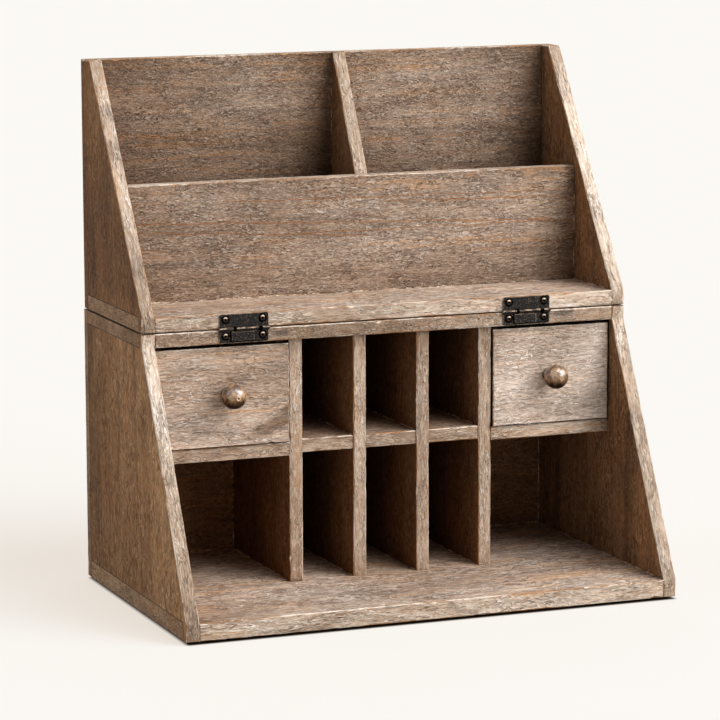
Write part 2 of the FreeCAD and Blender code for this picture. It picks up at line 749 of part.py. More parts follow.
screws = {"lower": [], "upper": []}
for side, x in hinge_places.items():
    lower_leaf = slab(f"hinge_{side}_lower_leaf", "XZ_Plane", lower_leaf_outline, 0, size.leaf_thickness)
    round_corners(lower_leaf, "XZ_Plane", lower_leaf_outline[0:2], size.lower_leaf_corner)
    sketch = new_sketch(lower_leaf, "XZ_Plane", size.leaf_thickness)
    boss_low = size.boss_margin - size.lower_leaf_reach
    draw_outline(sketch, rectangle(size.boss_offset - size.boss_width / 2, size.boss_offset + size.boss_width / 2,
                                   boss_low, boss_low + size.boss_height))
    pad(lower_leaf, sketch, size.boss_rise)
    roll_knuckle(lower_leaf, outer_start, leaf_half - outer_start)
    roll_knuckle(lower_leaf, -leaf_half, leaf_half - outer_start)
    finish_leaf(lower_leaf, x, -size.lower_screw_offset)

    upper_leaf = slab(f"hinge_{side}_upper_leaf", "XZ_Plane", upper_leaf_outline, 0, size.leaf_thickness)
    round_corners(upper_leaf, "XZ_Plane", upper_leaf_outline[4:6], size.upper_leaf_corner)
    roll_knuckle(upper_leaf, -middle_half, size.middle_knuckle_length)
    finish_leaf(upper_leaf, x, size.upper_screw_offset)

    # the pin is peened over at both ends
    pin = new_body(f"hinge_{side}_pin")
    head_inner = leaf_half + size.pin_clearance
    head_outer = head_inner + size.pin_head_length
    turn(pin, [
        (-head_outer, 0),
        (head_outer, 0),
        (head_inner, size.pin_head_radius),
        (head_inner, size.pin_radius),
        (-head_inner, size.pin_radius),
        (-head_inner, size.pin_head_radius),
    ], plane="XY_Plane", domes={1: 1, 5: 1})
    place(pin, x, ahead(size.shoulder_depth + size.knuckle_radius), pin_height)

    for level, height in (("lower", pin_height - size.lower_screw_offset),
                          ("upper", pin_height + size.upper_screw_offset)):
        for n, step in enumerate(screw_steps, start=1):
            screws[level].append(leaf_screw(f"screw_{side}_{level}_{n}", x + step, height))
group("hinge_screws_lower", screws["lower"])
group("hinge_screws_upper", screws["upper"])

# Nothing is written unless every feature and every piece is sound.
doc.recompute()
for thing in doc.Objects:
    if "Invalid" in thing.State or "Error" in thing.State:
        raise RuntimeError(f"{thing.Label} failed: {thing.State}")
for part in parts:
    if part.Shape.isNull() or not part.Shape.isValid():
        raise RuntimeError(f"{part.Label} has no sound shape")

os.makedirs("parts", exist_ok=True)
for part in parts:
    part.Shape.exportStep(f"parts/{part.Label}.step")
    print(f"{part.Label}: {len(part.Shape.Solids)} solid(s), {part.Shape.Volume / 1000:.2f} cm3")
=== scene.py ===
import math

import bmesh
import bpy
from mathutils import Matrix, Vector, noise


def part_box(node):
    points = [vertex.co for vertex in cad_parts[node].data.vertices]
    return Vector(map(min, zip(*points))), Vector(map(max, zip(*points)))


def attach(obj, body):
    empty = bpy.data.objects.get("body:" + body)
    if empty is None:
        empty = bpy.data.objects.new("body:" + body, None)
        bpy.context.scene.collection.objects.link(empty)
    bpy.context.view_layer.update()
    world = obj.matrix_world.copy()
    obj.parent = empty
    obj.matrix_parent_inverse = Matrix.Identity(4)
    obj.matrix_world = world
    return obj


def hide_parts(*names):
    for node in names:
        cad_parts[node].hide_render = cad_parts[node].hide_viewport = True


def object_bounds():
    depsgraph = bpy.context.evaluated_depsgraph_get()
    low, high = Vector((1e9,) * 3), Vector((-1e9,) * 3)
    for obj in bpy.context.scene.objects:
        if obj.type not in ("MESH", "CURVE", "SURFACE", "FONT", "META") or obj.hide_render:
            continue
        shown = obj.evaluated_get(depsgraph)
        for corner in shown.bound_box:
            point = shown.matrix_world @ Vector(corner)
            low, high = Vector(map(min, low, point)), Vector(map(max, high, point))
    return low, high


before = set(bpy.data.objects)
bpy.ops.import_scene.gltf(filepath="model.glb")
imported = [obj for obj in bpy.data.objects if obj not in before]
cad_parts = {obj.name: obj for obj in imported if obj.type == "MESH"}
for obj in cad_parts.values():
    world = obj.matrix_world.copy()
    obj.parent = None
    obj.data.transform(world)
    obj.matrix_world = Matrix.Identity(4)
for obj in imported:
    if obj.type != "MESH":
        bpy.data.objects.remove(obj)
cad_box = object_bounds()


# Bottom board.
# A 13 mm plank of weathered softwood, planed, stained and rubbed back, that stands on four felt pads.
# Its two tongues run through notches in the side panels, where their end grain stays in sight.

ARRIS_WIDTH = 0.0012
SHORTEST_ARRIS = 0.008
JOINT_LINE = 0.0003
STEP_ALONG = 0.0035
STEP_ACROSS = 0.005
RUB = 0.0004
RUB_LENGTH = 9.0
NICK = 0.0012
NICK_LENGTH = 3.1
CUPPING = 0.00022
CUPPING_LENGTH = 42.0
END_TONE = 1.15
END_STAIN = 0.6
# Arrises that look right, into the key light, keep only this share of the pale rub: less painted highlight where the
# lamp lights them.
RIGHT_LIT_ARRIS_SHARE = 0.5
REAR_TONE = 1.0
REAR_STAIN = 0.7
# Boards are painted darker towards their ends, where they meet other boards: painted shade and dirt.
END_SHADE_AND_DIRT = 0.22
END_SHADE_AND_DIRT_REACH = 0.035


def copied_shape(node):
    """A copy of a CAD node's mesh, with its flat faces whole."""
    shape = bmesh.new()
    shape.from_mesh(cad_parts[node].data)
    bmesh.ops.remove_doubles(shape, verts=shape.verts, dist=1e-6)
    bmesh.ops.dissolve_limit(shape, angle_limit=math.radians(1), verts=shape.verts, edges=shape.edges)
    return shape


def finished_mesh(shape, name):
    """Turns a worked shape into a mesh."""
    mesh = bpy.data.meshes.new(name)
    shape.to_mesh(mesh)
    shape.free()
    return mesh


def stand(name, data):
    """Puts a mesh, a lamp or the camera into the scene."""
    thing = bpy.data.objects.new(name, data)
    bpy.context.scene.collection.objects.link(thing)
    return thing


def arris_faces(shape):
    """The narrow faces that a plane leaves where two sides of a board meet."""
    found = []
    for face in shape.faces:
        longest = max(edge.calc_length() for edge in face.edges)
        if longest > SHORTEST_ARRIS and face.calc_area() / longest < ARRIS_WIDTH:
            found.append(face)
    return found


def ease_joints(shape, arris, seam):
    """Breaks the sharp edges a hair, so that a dark line shows where two boards meet flush."""
    sharp = []
    for edge in shape.edges:
        if len(edge.link_faces) == 2 and not any(face[arris] for face in edge.link_faces):
            if edge.calc_length() > SHORTEST_ARRIS and edge.calc_face_angle() > math.radians(60):
                sharp.append(edge)
    eased = bmesh.ops.bevel(shape, geom=sharp, offset=JOINT_LINE, segments=1, profile=0.5, affect="EDGES",
                            clamp_overlap=True)
    for face in eased["faces"]:
        face[seam] = 1


def saw_marks(shape, axis, step):
    """Divides a board into even strips along one axis, so that its edges can wear unevenly."""
    low = min(vert.co[axis] for vert in shape.verts)
    high = max(vert.co[axis] for vert in shape.verts)
    count = max(1, round((high - low) / step))
    normal = Vector((0, 0, 0))
    normal[axis] = 1
    for strip in range(1, count):
        point = normal * (low + (high - low) * strip / count)
        whole = shape.verts[:] + shape.edges[:] + shape.faces[:]
        bmesh.ops.bisect_plane(shape, geom=whole, dist=1e-7, plane_co=point, plane_no=normal)


def rub_edges(shape, arris, plank, wear):
    """Slides the borders of the arrises into the faces beside them, so they are worn wide, narrow and nicked."""
    moves = {}
    for vert in shape.verts:
        narrow = [face for face in vert.link_faces if face[arris]]
        broad = [face for face in vert.link_faces if not face[arris]]
        if not narrow or not broad:
            continue
        place = vert.co * 1000 + Vector((plank * 37.0, plank * 11.0, plank * 5.0))
        rub = max(0.0, noise.noise(place / RUB_LENGTH) + 0.2) * RUB * wear
        nick = max(0.0, noise.noise(place / NICK_LENGTH + Vector((50, 0, 0))) - 0.34) * 3.2 * NICK * wear
        shift = Vector((0, 0, 0))
        for side in broad:
            away = narrow[0].normal - side.normal * narrow[0].normal.dot(side.normal)
            if away.length > 0.2:
                shift -= away.normalized() * (rub + nick) / len(broad)
        moves[vert] = shift
    for vert, shift in moves.items():
        vert.co += shift


def cup_faces(shape, plank):
    """Lets the broad faces of a board dip a little, as dried softwood does."""
    moves = {}
    for vert in shape.verts:
        first = vert.link_faces[0].normal
        if all(face.normal.dot(first) > 0.9999 for face in vert.link_faces):
            place = vert.co * 1000 / CUPPING_LENGTH + Vector((plank * 3.3, plank * 7.1, 0))
            dip = 0.5 + 0.5 * noise.noise(place)
            moves[vert] = -first * dip * CUPPING
    for vert, shift in moves.items():
        vert.co += shift


def shading_and_tone_at(place, shading_and_tone):
    """How much paler or darker a board is painted at a place, from points along the axes: painted light and shade,
    and tone.
    """
    share = 1.0
    for axis, points in shading_and_tone.items():
        at = place["xyz".index(axis)] * 1000
        if at <= points[0][0]:
            share *= points[0][1]
        elif at >= points[-1][0]:
            share *= points[-1][1]
        else:
            for (start, first), (end, last) in zip(points, points[1:]):
                if start <= at <= end:
                    share *= first + (last - first) * (at - start) / (end - start)
                    break
    return share


def weathered_board(node, body, grain, plank, material, face_tone=1.0, edge_tone=1.3, stain=0.0, wear=1.0,
                    shading_and_tone=None, edge_shading_and_tone=None, end_tone=END_TONE, downward_shade_tone=None):
    """A worn copy of one planed board, which takes the place of its CAD node. The tones say how pale its broad
    faces, its narrow edges and its ends are, and a very low tone paints shade into a gap; stain says how much
    brown is left in the faces. The points along each axis, in millimetres with a share each, paint light and
    shade along the board and change its tone. An optional tone for the arrises that look down paints them dark
    as shade and leaves them unrubbed. Whatever looks to the rear keeps an even tone without those points, and
    arrises that look right, into the key light, get only part of the pale rub and its painted highlight."""
    shape = copied_shape(node)
    arris = shape.faces.layers.int.new("arris")
    seam = shape.faces.layers.int.new("seam_line")
    for face in arris_faces(shape):
        face[arris] = 1
    ease_joints(shape, arris, seam)
    along = "xyz".index(grain)
    sizes = [max(vert.co[axis] for vert in shape.verts) - min(vert.co[axis] for vert in shape.verts)
             for axis in range(3)]
    across = max((axis for axis in range(3) if axis != along), key=lambda axis: sizes[axis])
    flat = sizes.index(min(sizes))
    saw_marks(shape, along, STEP_ALONG)
    saw_marks(shape, across, STEP_ACROSS)
    shape.normal_update()
    rub_edges(shape, arris, plank, wear)
    cup_faces(shape, plank)
    lowest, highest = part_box(node)
    for vert in shape.verts:
        vert.co = [min(max(at, low), high) for at, low, high in zip(vert.co, lowest, highest)]
    shape.normal_update()
    # Arrises that look down can take a dark tone of their own: painted shade.
    shaded_downward = [downward_shade_tone is not None and face[arris] and face.normal.z < -0.3 for face in shape.faces]
    # Arrises that look right keep only part of the pale rub: less painted highlight under the key light.
    worn = [0.0 if foot else face[arris] * (RIGHT_LIT_ARRIS_SHARE if face.normal.x > 0.3 else 1.0)
            for face, foot in zip(shape.faces, shaded_downward)]
    lines = [float(face[seam]) for face in shape.faces]
    edges = [0.0 if abs(face.normal[flat]) > 0.9 else 1.0 for face in shape.faces]
    ends = [abs(face.normal[along]) > 0.9 for face in shape.faces]
    rears = [face.normal.y > 0.9 for face in shape.faces]
    lows = min(vert.co[along] for vert in shape.verts)
    highs = max(vert.co[along] for vert in shape.verts)
    tones = []
    for face, edge, end, foot, rear in zip(shape.faces, edges, ends, shaded_downward, rears):
        if foot:
            side_tone = downward_shade_tone
        elif face[arris]:
            side_tone = max(face_tone, edge_tone)
        else:
            side_tone = end_tone if end else edge_tone if edge else face_tone
        # The points along the axes paint light and shade over the board and change its tone.
        changes = edge_shading_and_tone if edge and edge_shading_and_tone else shading_and_tone or {}
        if rear:
            side_tone, changes = min(side_tone, REAR_TONE), {}
        for loop in face.loops:
            tone = side_tone
            to_end = min(loop.vert.co[along] - lows, highs - loop.vert.co[along])
            # Darker towards the board's ends: painted shade and dirt.
            if not end:
                tone *= 1 - END_SHADE_AND_DIRT * max(0.0, 1 - to_end / END_SHADE_AND_DIRT_REACH) ** 2
            tones.append(tone * shading_and_tone_at(loop.vert.co, changes))
    mesh = finished_mesh(shape, node + "_worn")
    stains = []
    for rear, edge, end in zip(rears, edges, ends):
        stains.append(REAR_STAIN if rear else END_STAIN if end else 0.0 if edge else stain)
    for name, values in (("worn", worn), ("seam", lines), ("edge", edges), ("stain", stains),
                         ("plank", [float(plank)] * len(worn))):
        mesh.attributes.new(name, "FLOAT", "FACE").data.foreach_set("value", values)
    mesh.attributes.new("tone", "FLOAT", "CORNER").data.foreach_set("value", tones)
    mesh.shade_smooth()
    mesh.set_sharp_from_angle(angle=math.radians(25))
    board = stand(node + "_board", mesh)
    mesh.materials.append(material)
    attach(board, body)
    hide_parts(node)


def tint(red, green, blue):
    """A paint chip's 0-255 values as the linear colour that a shader takes."""
    return tuple(((part / 255 + 0.055) / 1.055) ** 2.4 for part in (red, green, blue)) + (1.0,)


def wire(tree, kind, sockets=None, **settings):
    """Adds a shader node, with its settings, its sockets' values and the links into them."""
    node = tree.nodes.new("ShaderNode" + kind)
    for name, value in settings.items():
        setattr(node, name, value)
    for name, value in (sockets or {}).items():
        if isinstance(value, bpy.types.NodeSocket):
            tree.links.new(value, node.inputs[name])
        else:
            node.inputs[name].default_value = value
    return node


def figure(tree, operation, first, second=0.0, third=0.0, clamp=False):
    """One step of arithmetic on masks."""
    return wire(tree, "Math", {0: first, 1: second, 2: third}, operation=operation, use_clamp=clamp).outputs[0]


def times(tree, first, second):
    """One mask by another."""
    return figure(tree, "MULTIPLY", first, second)


def apart(tree, first, second):
    """How far two figures differ."""
    return figure(tree, "ABSOLUTE", figure(tree, "SUBTRACT", first, second))


def distance(tree, x, z):
    """The length of a step of x and z."""
    return figure(tree, "SQRT", figure(tree, "MULTIPLY_ADD", x, x, times(tree, z, z)))


def ramp(tree, value, low, high, start=0.0, end=1.0):
    """Spreads a mask smoothly from start to end between two levels."""
    node = wire(tree, "MapRange", {"Value": value, "From Min": low, "From Max": high, "To Min": start, "To Max": end},
                interpolation_type="SMOOTHSTEP")
    return node.outputs["Result"]


def arrow(tree, operation, *sockets):
    """One step of arithmetic on places."""
    return wire(tree, "VectorMath", dict(enumerate(sockets)), operation=operation).outputs[0]


def cloud(tree, place, scales, detail=2.0, roughness=0.5, distortion=0.0):
    """Noise over a place, with a scale for each axis."""
    node = wire(tree, "TexNoise", {"Vector": arrow(tree, "MULTIPLY", place, scales), "Scale": 1.0, "Detail": detail,
                                   "Roughness": roughness, "Distortion": distortion})
    return node.outputs["Fac"]


def blend(tree, share, first, second, mode="MIX"):
    """Mixes two colours by a mask."""
    node = wire(tree, "Mix", {0: share, 6: first, 7: second}, data_type="RGBA", blend_type=mode)
    return node.outputs[2]


def start_group(name, inputs, outputs):
    """A shader node group with named sockets, and the nodes that hold them."""
    tree = bpy.data.node_groups.new(name, "ShaderNodeTree")
    for label, kind in inputs.items():
        tree.interface.new_socket(name=label, in_out="INPUT", socket_type="NodeSocket" + kind)
    for label, kind in outputs.items():
        tree.interface.new_socket(name=label, in_out="OUTPUT", socket_type="NodeSocket" + kind)
    given = tree.nodes.new("NodeGroupInput").outputs
    result = tree.nodes.new("NodeGroupOutput").inputs
    return tree, given, result


def start_material(name):
    """A new material: its tree, its shader's sockets and each place on the object."""
    material = bpy.data.materials.new(name)
    material.use_nodes = True
    tree = material.node_tree
    return material, tree, tree.nodes["Principled BSDF"].inputs, wire(tree, "TexCoord").outputs["Object"]


def relieve(tree, shader, height, depth, strength=1.0):
    """Gives a surface the fine relief of a height."""
    relief = wire(tree, "Bump", {"Strength": strength, "Distance": depth, "Height": height})
    tree.links.new(relief.outputs["Normal"], shader["Normal"])


PLANK_OFFSET = (0.371, 0.193, 0.277)
GRAIN_SWAY = 0.008
GRAIN_DEPTH = 0.001
GRAIN = ("Streak", "Fibre", "Band", "Ring", "Grey", "Cloud", "Patch", "Light Curl", "Dark Curl", "Pore")
WEAR = ("Worn", "Seam", "Edge", "Stain", "Tone")


def make_plank_grain():
    """The figure of old softwood. X runs along the grain; each plank is cut from another part of the log."""
    tree, given, result = start_group("plank grain", {"Place": "Vector", "Skin": "Vector", "Plank": "Float"},
                                      {label: "Float" for label in GRAIN + ("Height",)})
    offset = arrow(tree, "MULTIPLY", given["Plank"], PLANK_OFFSET)
    place = arrow(tree, "ADD", given["Place"], offset)
    skin = arrow(tree, "ADD", given["Skin"], offset)
    scaled = arrow(tree, "MULTIPLY", place, (14, 36, 36))
    wander = wire(tree, "TexNoise", {"Vector": scaled, "Scale": 1.0, "Detail": 2.0}).outputs["Color"]
    bend = arrow(tree, "SUBTRACT", wander, (0.5, 0.5, 0.5))
    bent = arrow(tree, "MULTIPLY_ADD", bend, (0.0, GRAIN_SWAY, GRAIN_SWAY), place)
    broad = cloud(tree, bent, (17, 150, 150), 4.0, 0.62)
    fine = cloud(tree, bent, (60, 760, 760), 3.0, 0.62)
    fibre = cloud(tree, skin, (330, 1150, 1150), 2.0, 0.6)
    mottle = cloud(tree, skin, (520, 860, 860), 2.0, 0.6)
    streak = figure(tree, "MULTIPLY_ADD", broad, 0.5, times(tree, fine, 0.5))
    band = cloud(tree, bent, (7, 300, 300), 3.0, 0.55)
    grey = cloud(tree, place, (15, 52, 52), 4.0, 0.62)
    overcast = cloud(tree, place, (6, 30, 30), 2.0, 0.5)
    patch = cloud(tree, bent, (80, 250, 250), 3.0, 0.6)
    waves = cloud(tree, skin, (215, 470, 470), 1.0, 0.5, 0.9)
    light_spots = ramp(tree, cloud(tree, skin, (70, 100, 100), 1.0), 0.40, 0.60, 0.2, 1.0)
    light_curl = ramp(tree, apart(tree, waves, 0.55), 0.022, 0.046, 1.0, 0.0)
    light_curl = times(tree, light_curl, light_spots)
    dark_spots = ramp(tree, cloud(tree, skin, (60, 90, 90), 1.0), 0.60, 0.40, 0.2, 1.0)
    dark_curl = ramp(tree, apart(tree, waves, 0.445), 0.020, 0.042, 1.0, 0.0)
    dark_curl = times(tree, dark_curl, dark_spots)
    pore = ramp(tree, cloud(tree, skin, (260, 820, 820), 1.0), 0.68, 0.73)
    rings = times(tree, cloud(tree, bent, (9, 95, 95), 2.0, 0.4), 12.0)
    late = ramp(tree, figure(tree, "FRACT", rings), 0.62, 0.97)
    grown = ramp(tree, cloud(tree, place, (26, 60, 60), 2.0), 0.42, 0.6)
    ring = times(tree, late, grown)
    matted = figure(tree, "MULTIPLY_ADD", fibre, 0.5, times(tree, mottle, 0.5))
    height = figure(tree, "MULTIPLY_ADD", fine, 0.4, times(tree, matted, 1.1))
    height = figure(tree, "MULTIPLY_ADD", light_curl, 0.6, height)
    height = figure(tree, "MULTIPLY_ADD", dark_curl, -0.6, height)
    height = figure(tree, "MULTIPLY_ADD", pore, -0.8, height)
    made = (streak, matted, band, ring, grey, overcast, patch, light_curl, dark_curl, pore, height)
    for label, value in zip(GRAIN + ("Height",), made):
        tree.links.new(value, result[label])
    return tree


def make_weathering():
    """Stain, grey film, rubbed edges that are also lifted as a painted highlight, and dirty joint lines over the
    grain.
    """
    inputs = dict.fromkeys(GRAIN + ("Mark",) + WEAR + ("Roughened",), "Float")
    inputs.update(dict.fromkeys(("Heart", "Shade", "Rust", "Film", "Bare", "Mark Color"), "Color"))
    tree, given, result = start_group("weathering", inputs, {"Color": "Color", "Roughness": "Float"})
    rough = given["Roughened"]
    calm = figure(tree, "MULTIPLY_ADD", given["Edge"], -0.55, 1.0)
    streak = figure(tree, "MULTIPLY_ADD", figure(tree, "SUBTRACT", given["Streak"], 0.5), calm, 0.5)
    color = blend(tree, ramp(tree, streak, 0.37, 0.62), given["Shade"], given["Heart"])
    rusty = ramp(tree, given["Grey"], 0.62, 0.42, 0.15, 0.8)
    color = blend(tree, times(tree, ramp(tree, given["Band"], 0.53, 0.64), rusty), color, given["Rust"])
    color = blend(tree, ramp(tree, given["Grey"], 0.48, 0.66, 0.0, 0.4), color, tint(112, 94, 80))
    color = blend(tree, times(tree, given["Ring"], 0.55), color,
                  blend(tree, rusty, tint(104, 82, 66), tint(146, 102, 68)))
    color = blend(tree, times(tree, ramp(tree, given["Band"], 0.42, 0.34, 0.0, 0.4), rough), color, tint(96, 78, 64))
    dark_fibre = times(tree, ramp(tree, given["Fibre"], 0.48, 0.38, 0.0, 0.5), rough)
    color = blend(tree, dark_fibre, color, tint(88, 66, 50))
    color = blend(tree, ramp(tree, given["Fibre"], 0.52, 0.62, 0.0, 0.42), color, given["Film"])
    paled = times(tree, given["Edge"], ramp(tree, given["Patch"], 0.44, 0.6, 0.16, 0.42))
    color = blend(tree, paled, color, tint(208, 184, 160))
    rim = ramp(tree, apart(tree, given["Patch"], 0.455), 0.006, 0.02, 0.4, 0.0)
    color = blend(tree, times(tree, given["Edge"], rim), color, given["Rust"])
    furrow = figure(tree, "MULTIPLY_ADD", given["Edge"], -0.12, times(tree, rough, 0.72))
    color = blend(tree, times(tree, given["Dark Curl"], furrow), color, tint(84, 61, 45))
    color = blend(tree, times(tree, given["Light Curl"], 0.5), color,
                  blend(tree, times(tree, given["Edge"], 0.7), given["Film"], given["Bare"]))
    color = blend(tree, times(tree, given["Pore"], times(tree, rough, 0.65)), color, tint(58, 42, 31))
    color = blend(tree, given["Mark"], color, given["Mark Color"])
    color = blend(tree, given["Stain"], color, blend(tree, 1.0, color, (1.0, 0.76, 0.49, 1.0), "MULTIPLY"))
    tone = times(tree, given["Tone"], ramp(tree, given["Cloud"], 0.3, 0.7, 0.84, 1.16))
    tones = wire(tree, "CombineColor", {"Red": tone, "Green": figure(tree, "POWER", tone, 1.2),
                                        "Blue": figure(tree, "POWER", tone, 1.4)}).outputs[0]
    color = blend(tree, 1.0, color, tones, "MULTIPLY")
    # Rubbed arrises show pale or rusty bare wood, lifted with the board's tone: wear, and partly a painted highlight
    # along the rims.
    chipped_and_highlit = blend(tree, ramp(tree, given["Band"], 0.46, 0.54), given["Bare"], given["Rust"])
    paleness = figure(tree, "MINIMUM", times(tree, tone, 1.3), 1.22)
    chipped_and_highlit = blend(tree, 1.0, chipped_and_highlit, paleness, "MULTIPLY")
    rubbed = times(tree, given["Worn"], ramp(tree, given["Patch"], 0.40, 0.46, 0.1, 1.0))
    color = blend(tree, rubbed, color, chipped_and_highlit)
    color = blend(tree, times(tree, given["Seam"], 0.92), color, tint(34, 23, 16))
    tree.links.new(color, result["Color"])
    tree.links.new(ramp(tree, given["Fibre"], 0.3, 0.7, 0.9, 0.7), result["Roughness"])
    return tree


plank_grain = make_plank_grain()
weathering = make_weathering()


def fine_line(tree, spot, height, fall, start, end, thickness=0.00045):
    """A thin line of late wood that runs along x at a height, wavers, and falls by a share of its length."""
    waver = cloud(tree, spot["Vector"], (24, 0, 0), 2.0)
    level = figure(tree, "MULTIPLY_ADD", waver, 0.005, height - 0.0025)
    level = figure(tree, "ADD", level, times(tree, figure(tree, "SUBTRACT", spot["X"], start), -fall))
    near = ramp(tree, apart(tree, spot["Z"], level), thickness * 0.4, thickness, 1.0, 0.0)
    broken = ramp(tree, cloud(tree, spot["Vector"], (90, 60, 700), 2.0), 0.36, 0.5, 0.25, 1.0)
    within = times(tree, ramp(tree, spot["X"], start, start + 0.01), ramp(tree, spot["X"], end - 0.03, end, 1.0, 0.0))
    return times(tree, times(tree, near, broken), within)


def soaked_patch(tree, spot, x, z, long, high, tilt=0.0):
    """A soft stain round one place of a board's face, longer along x, with a ragged rim."""
    across = times(tree, figure(tree, "SUBTRACT", spot["X"], x), 1 / long)
    up = figure(tree, "SUBTRACT", spot["Z"], z)
    up = figure(tree, "MULTIPLY_ADD", figure(tree, "SUBTRACT", spot["X"], x), -tilt, up)
    up = times(tree, up, 1 / high)
    reach = distance(tree, across, up)
    ragged = cloud(tree, spot["Vector"], (110, 110, 420), 3.0, 0.6)
    reach = figure(tree, "ADD", reach, figure(tree, "MULTIPLY_ADD", ragged, 1.3, -0.65))
    return ramp(tree, reach, 1.0, 0.35)


def plank_material(name, grain, heart, shade, rust, film, bare, lean=0.0, figure_depth=1.0, skin_depth=1.0,
                   skin_length=1.0, roughened=0.85, mark_color=(90, 62, 42), marks_of=None):
    """Weathered softwood whose grain runs along x, y or z. On an edge that is sawn to a slope, the grain follows
    the slope, which falls back by the share given as lean. A depth under 1 spreads the long figure or the fine
    skin from front to back, as in a plank sawn flat across the rings, and a skin_length under 1 draws the skin
    out along the grain. marks_of gives marks at set places: stains, streaks and lines, and painted shade in the
    drawer openings."""
    material, tree, shader, spot = start_material(name)
    place = wire(tree, "SeparateXYZ", {0: spot}).outputs
    marks = {label: wire(tree, "Attribute", attribute_name=label.lower()).outputs["Fac"]
             for label in ("Plank",) + WEAR}
    sloped = times(tree, times(tree, place["Z"], -lean), marks["Edge"])
    depth = figure(tree, "ADD", place["Y"], sloped) if lean else place["Y"]
    along, *across = {"x": "XYZ", "y": "YXZ", "z": "ZXY"}[grain]
    grained = wire(tree, "Group", node_tree=plank_grain)
    grained.name = "plank grain"
    for socket, share, length in (("Place", figure_depth, 1.0), ("Skin", skin_depth, skin_length)):
        spots = {"X": place["X"], "Y": times(tree, depth, share), "Z": place["Z"]}
        turned = wire(tree, "CombineXYZ", {"X": spots[along], "Y": spots[across[0]], "Z": spots[across[1]]})
        tree.links.new(arrow(tree, "MULTIPLY", turned.outputs[0], (length, 1, 1)), grained.inputs[socket])
    tree.links.new(marks["Plank"], grained.inputs["Plank"])
    aged = wire(tree, "Group", node_tree=weathering)
    aged.name = "weathering"
    for label in GRAIN:
        tree.links.new(grained.outputs[label], aged.inputs[label])
    for label in WEAR:
        tree.links.new(marks[label], aged.inputs[label])
    for label, chip in (("Heart", heart), ("Shade", shade), ("Rust", rust), ("Film", film), ("Bare", bare),
                        ("Mark Color", mark_color)):
        aged.inputs[label].default_value = tint(*chip)
    aged.inputs["Roughened"].default_value = roughened
    if marks_of is not None:
        spots = {"Vector": spot, "X": place["X"], "Y": place["Y"], "Z": place["Z"]}
        tree.links.new(marks_of(tree, spots), aged.inputs["Mark"])
    tree.links.new(aged.outputs["Color"], shader["Base Color"])
    tree.links.new(aged.outputs["Roughness"], shader["Roughness"])
    shader["Specular IOR Level"].default_value = 0.2
    relieve(tree, shader, grained.outputs["Height"], GRAIN_DEPTH)
    return material


CASE_WOOD = {"heart": (160, 132, 109), "shade": (124, 99, 81), "rust": (164, 121, 84), "film": (192, 171, 153),
             "bare": (226, 209, 192)}
SIDE_WOOD = {**CASE_WOOD, "shade": (138, 112, 92)}
case_wood_x = plank_material("case wood, grain across", "x", **CASE_WOOD)
bottom_wood = plank_material("bottom board wood", "x", figure_depth=0.4, skin_depth=0.4, skin_length=0.4,
                             **CASE_WOOD)
# The bottom board is painted darker towards the back, into the shaded cubbies, and its tone changes along its length
# and front edge: painted light and shade, and tone.
weathered_board("bottom_board", "lower_case", "x", 1, bottom_wood, 1.8, 1.47,
                shading_and_tone={"y": ((-20, 1.0), (100, 0.7)),
                       "x": ((-180, 0.95), (-60, 1.0), (0, 0.88), (60, 0.98), (120, 1.08), (180, 1.05))},
                edge_shading_and_tone={"x": ((-180, 1.15), (-140, 1.0), (-90, 0.78), (-30, 0.85), (20, 0.98), (150, 0.92),
                                  (180, 1.15))})


def dress(material, *names):
    """Gives CAD nodes their finish."""
    for name in names:
        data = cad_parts[name].data
        data.materials.clear()
        data.materials.append(material)


def wool_felt():
    """Dark felt, for the pads that hold the bottom board off the desk."""
    material, tree, shader, place = start_material("wool felt")
    fuzz = cloud(tree, place, (1800, 1800, 1800), 4.0, 0.7)
    color = blend(tree, ramp(tree, fuzz, 0.35, 0.65), tint(40, 36, 33), tint(58, 52, 48))
    tree.links.new(color, shader["Base Color"])
    shader["Roughness"].default_value = 0.95
    relieve(tree, shader, fuzz, 0.0003, 0.6)
    return material


dress(wool_felt(), "felt_pads")


# Lower side panels.
# Two planks with the grain upright. The front slopes back from the foot and stands upright over the ends
# of the boards; the tongues of the bottom and top boards fill the notches.

def dark_streaks(tree, spot):
    """Broad soft streaks of darker wood that run up a side panel."""
    return ramp(tree, cloud(tree, spot["Vector"], (30, 75, 5), 3.0, 0.6), 0.5, 0.68, 0.0, 0.34)


LOWER_LEAN = 92 / 181
OPENING_FLOOR = 0.1187
OPENING_FRONT = -0.0196


def opening_shade(tree, spot, beside):
    """The part of a mask that lies in the drawer openings, behind the fronts, where shade is painted nearly black."""
    behind = ramp(tree, spot["Y"], OPENING_FRONT, OPENING_FRONT + 0.0005)
    above = ramp(tree, spot["Z"], OPENING_FLOOR, OPENING_FLOOR + 0.0005)
    return times(tree, beside, times(tree, behind, times(tree, above, 0.93)))


def side_shade_and_streaks(tree, spot):
    """Painted shade inside the drawer openings, and dark streaks up the planks."""
    inside = ramp(tree, figure(tree, "ABSOLUTE", spot["X"]), 0.1803, 0.1806, 1.0, 0.0)
    return figure(tree, "MAXIMUM", opening_shade(tree, spot, inside), dark_streaks(tree, spot))


# Its near-black mark colour paints shade into the drawer openings.
lower_side_wood = plank_material("lower side wood, grain upright", "z", lean=LOWER_LEAN, figure_depth=1.0,
                                 skin_depth=0.55, skin_length=0.5, mark_color=(16, 11, 8), marks_of=side_shade_and_streaks,
                                 **SIDE_WOOD)
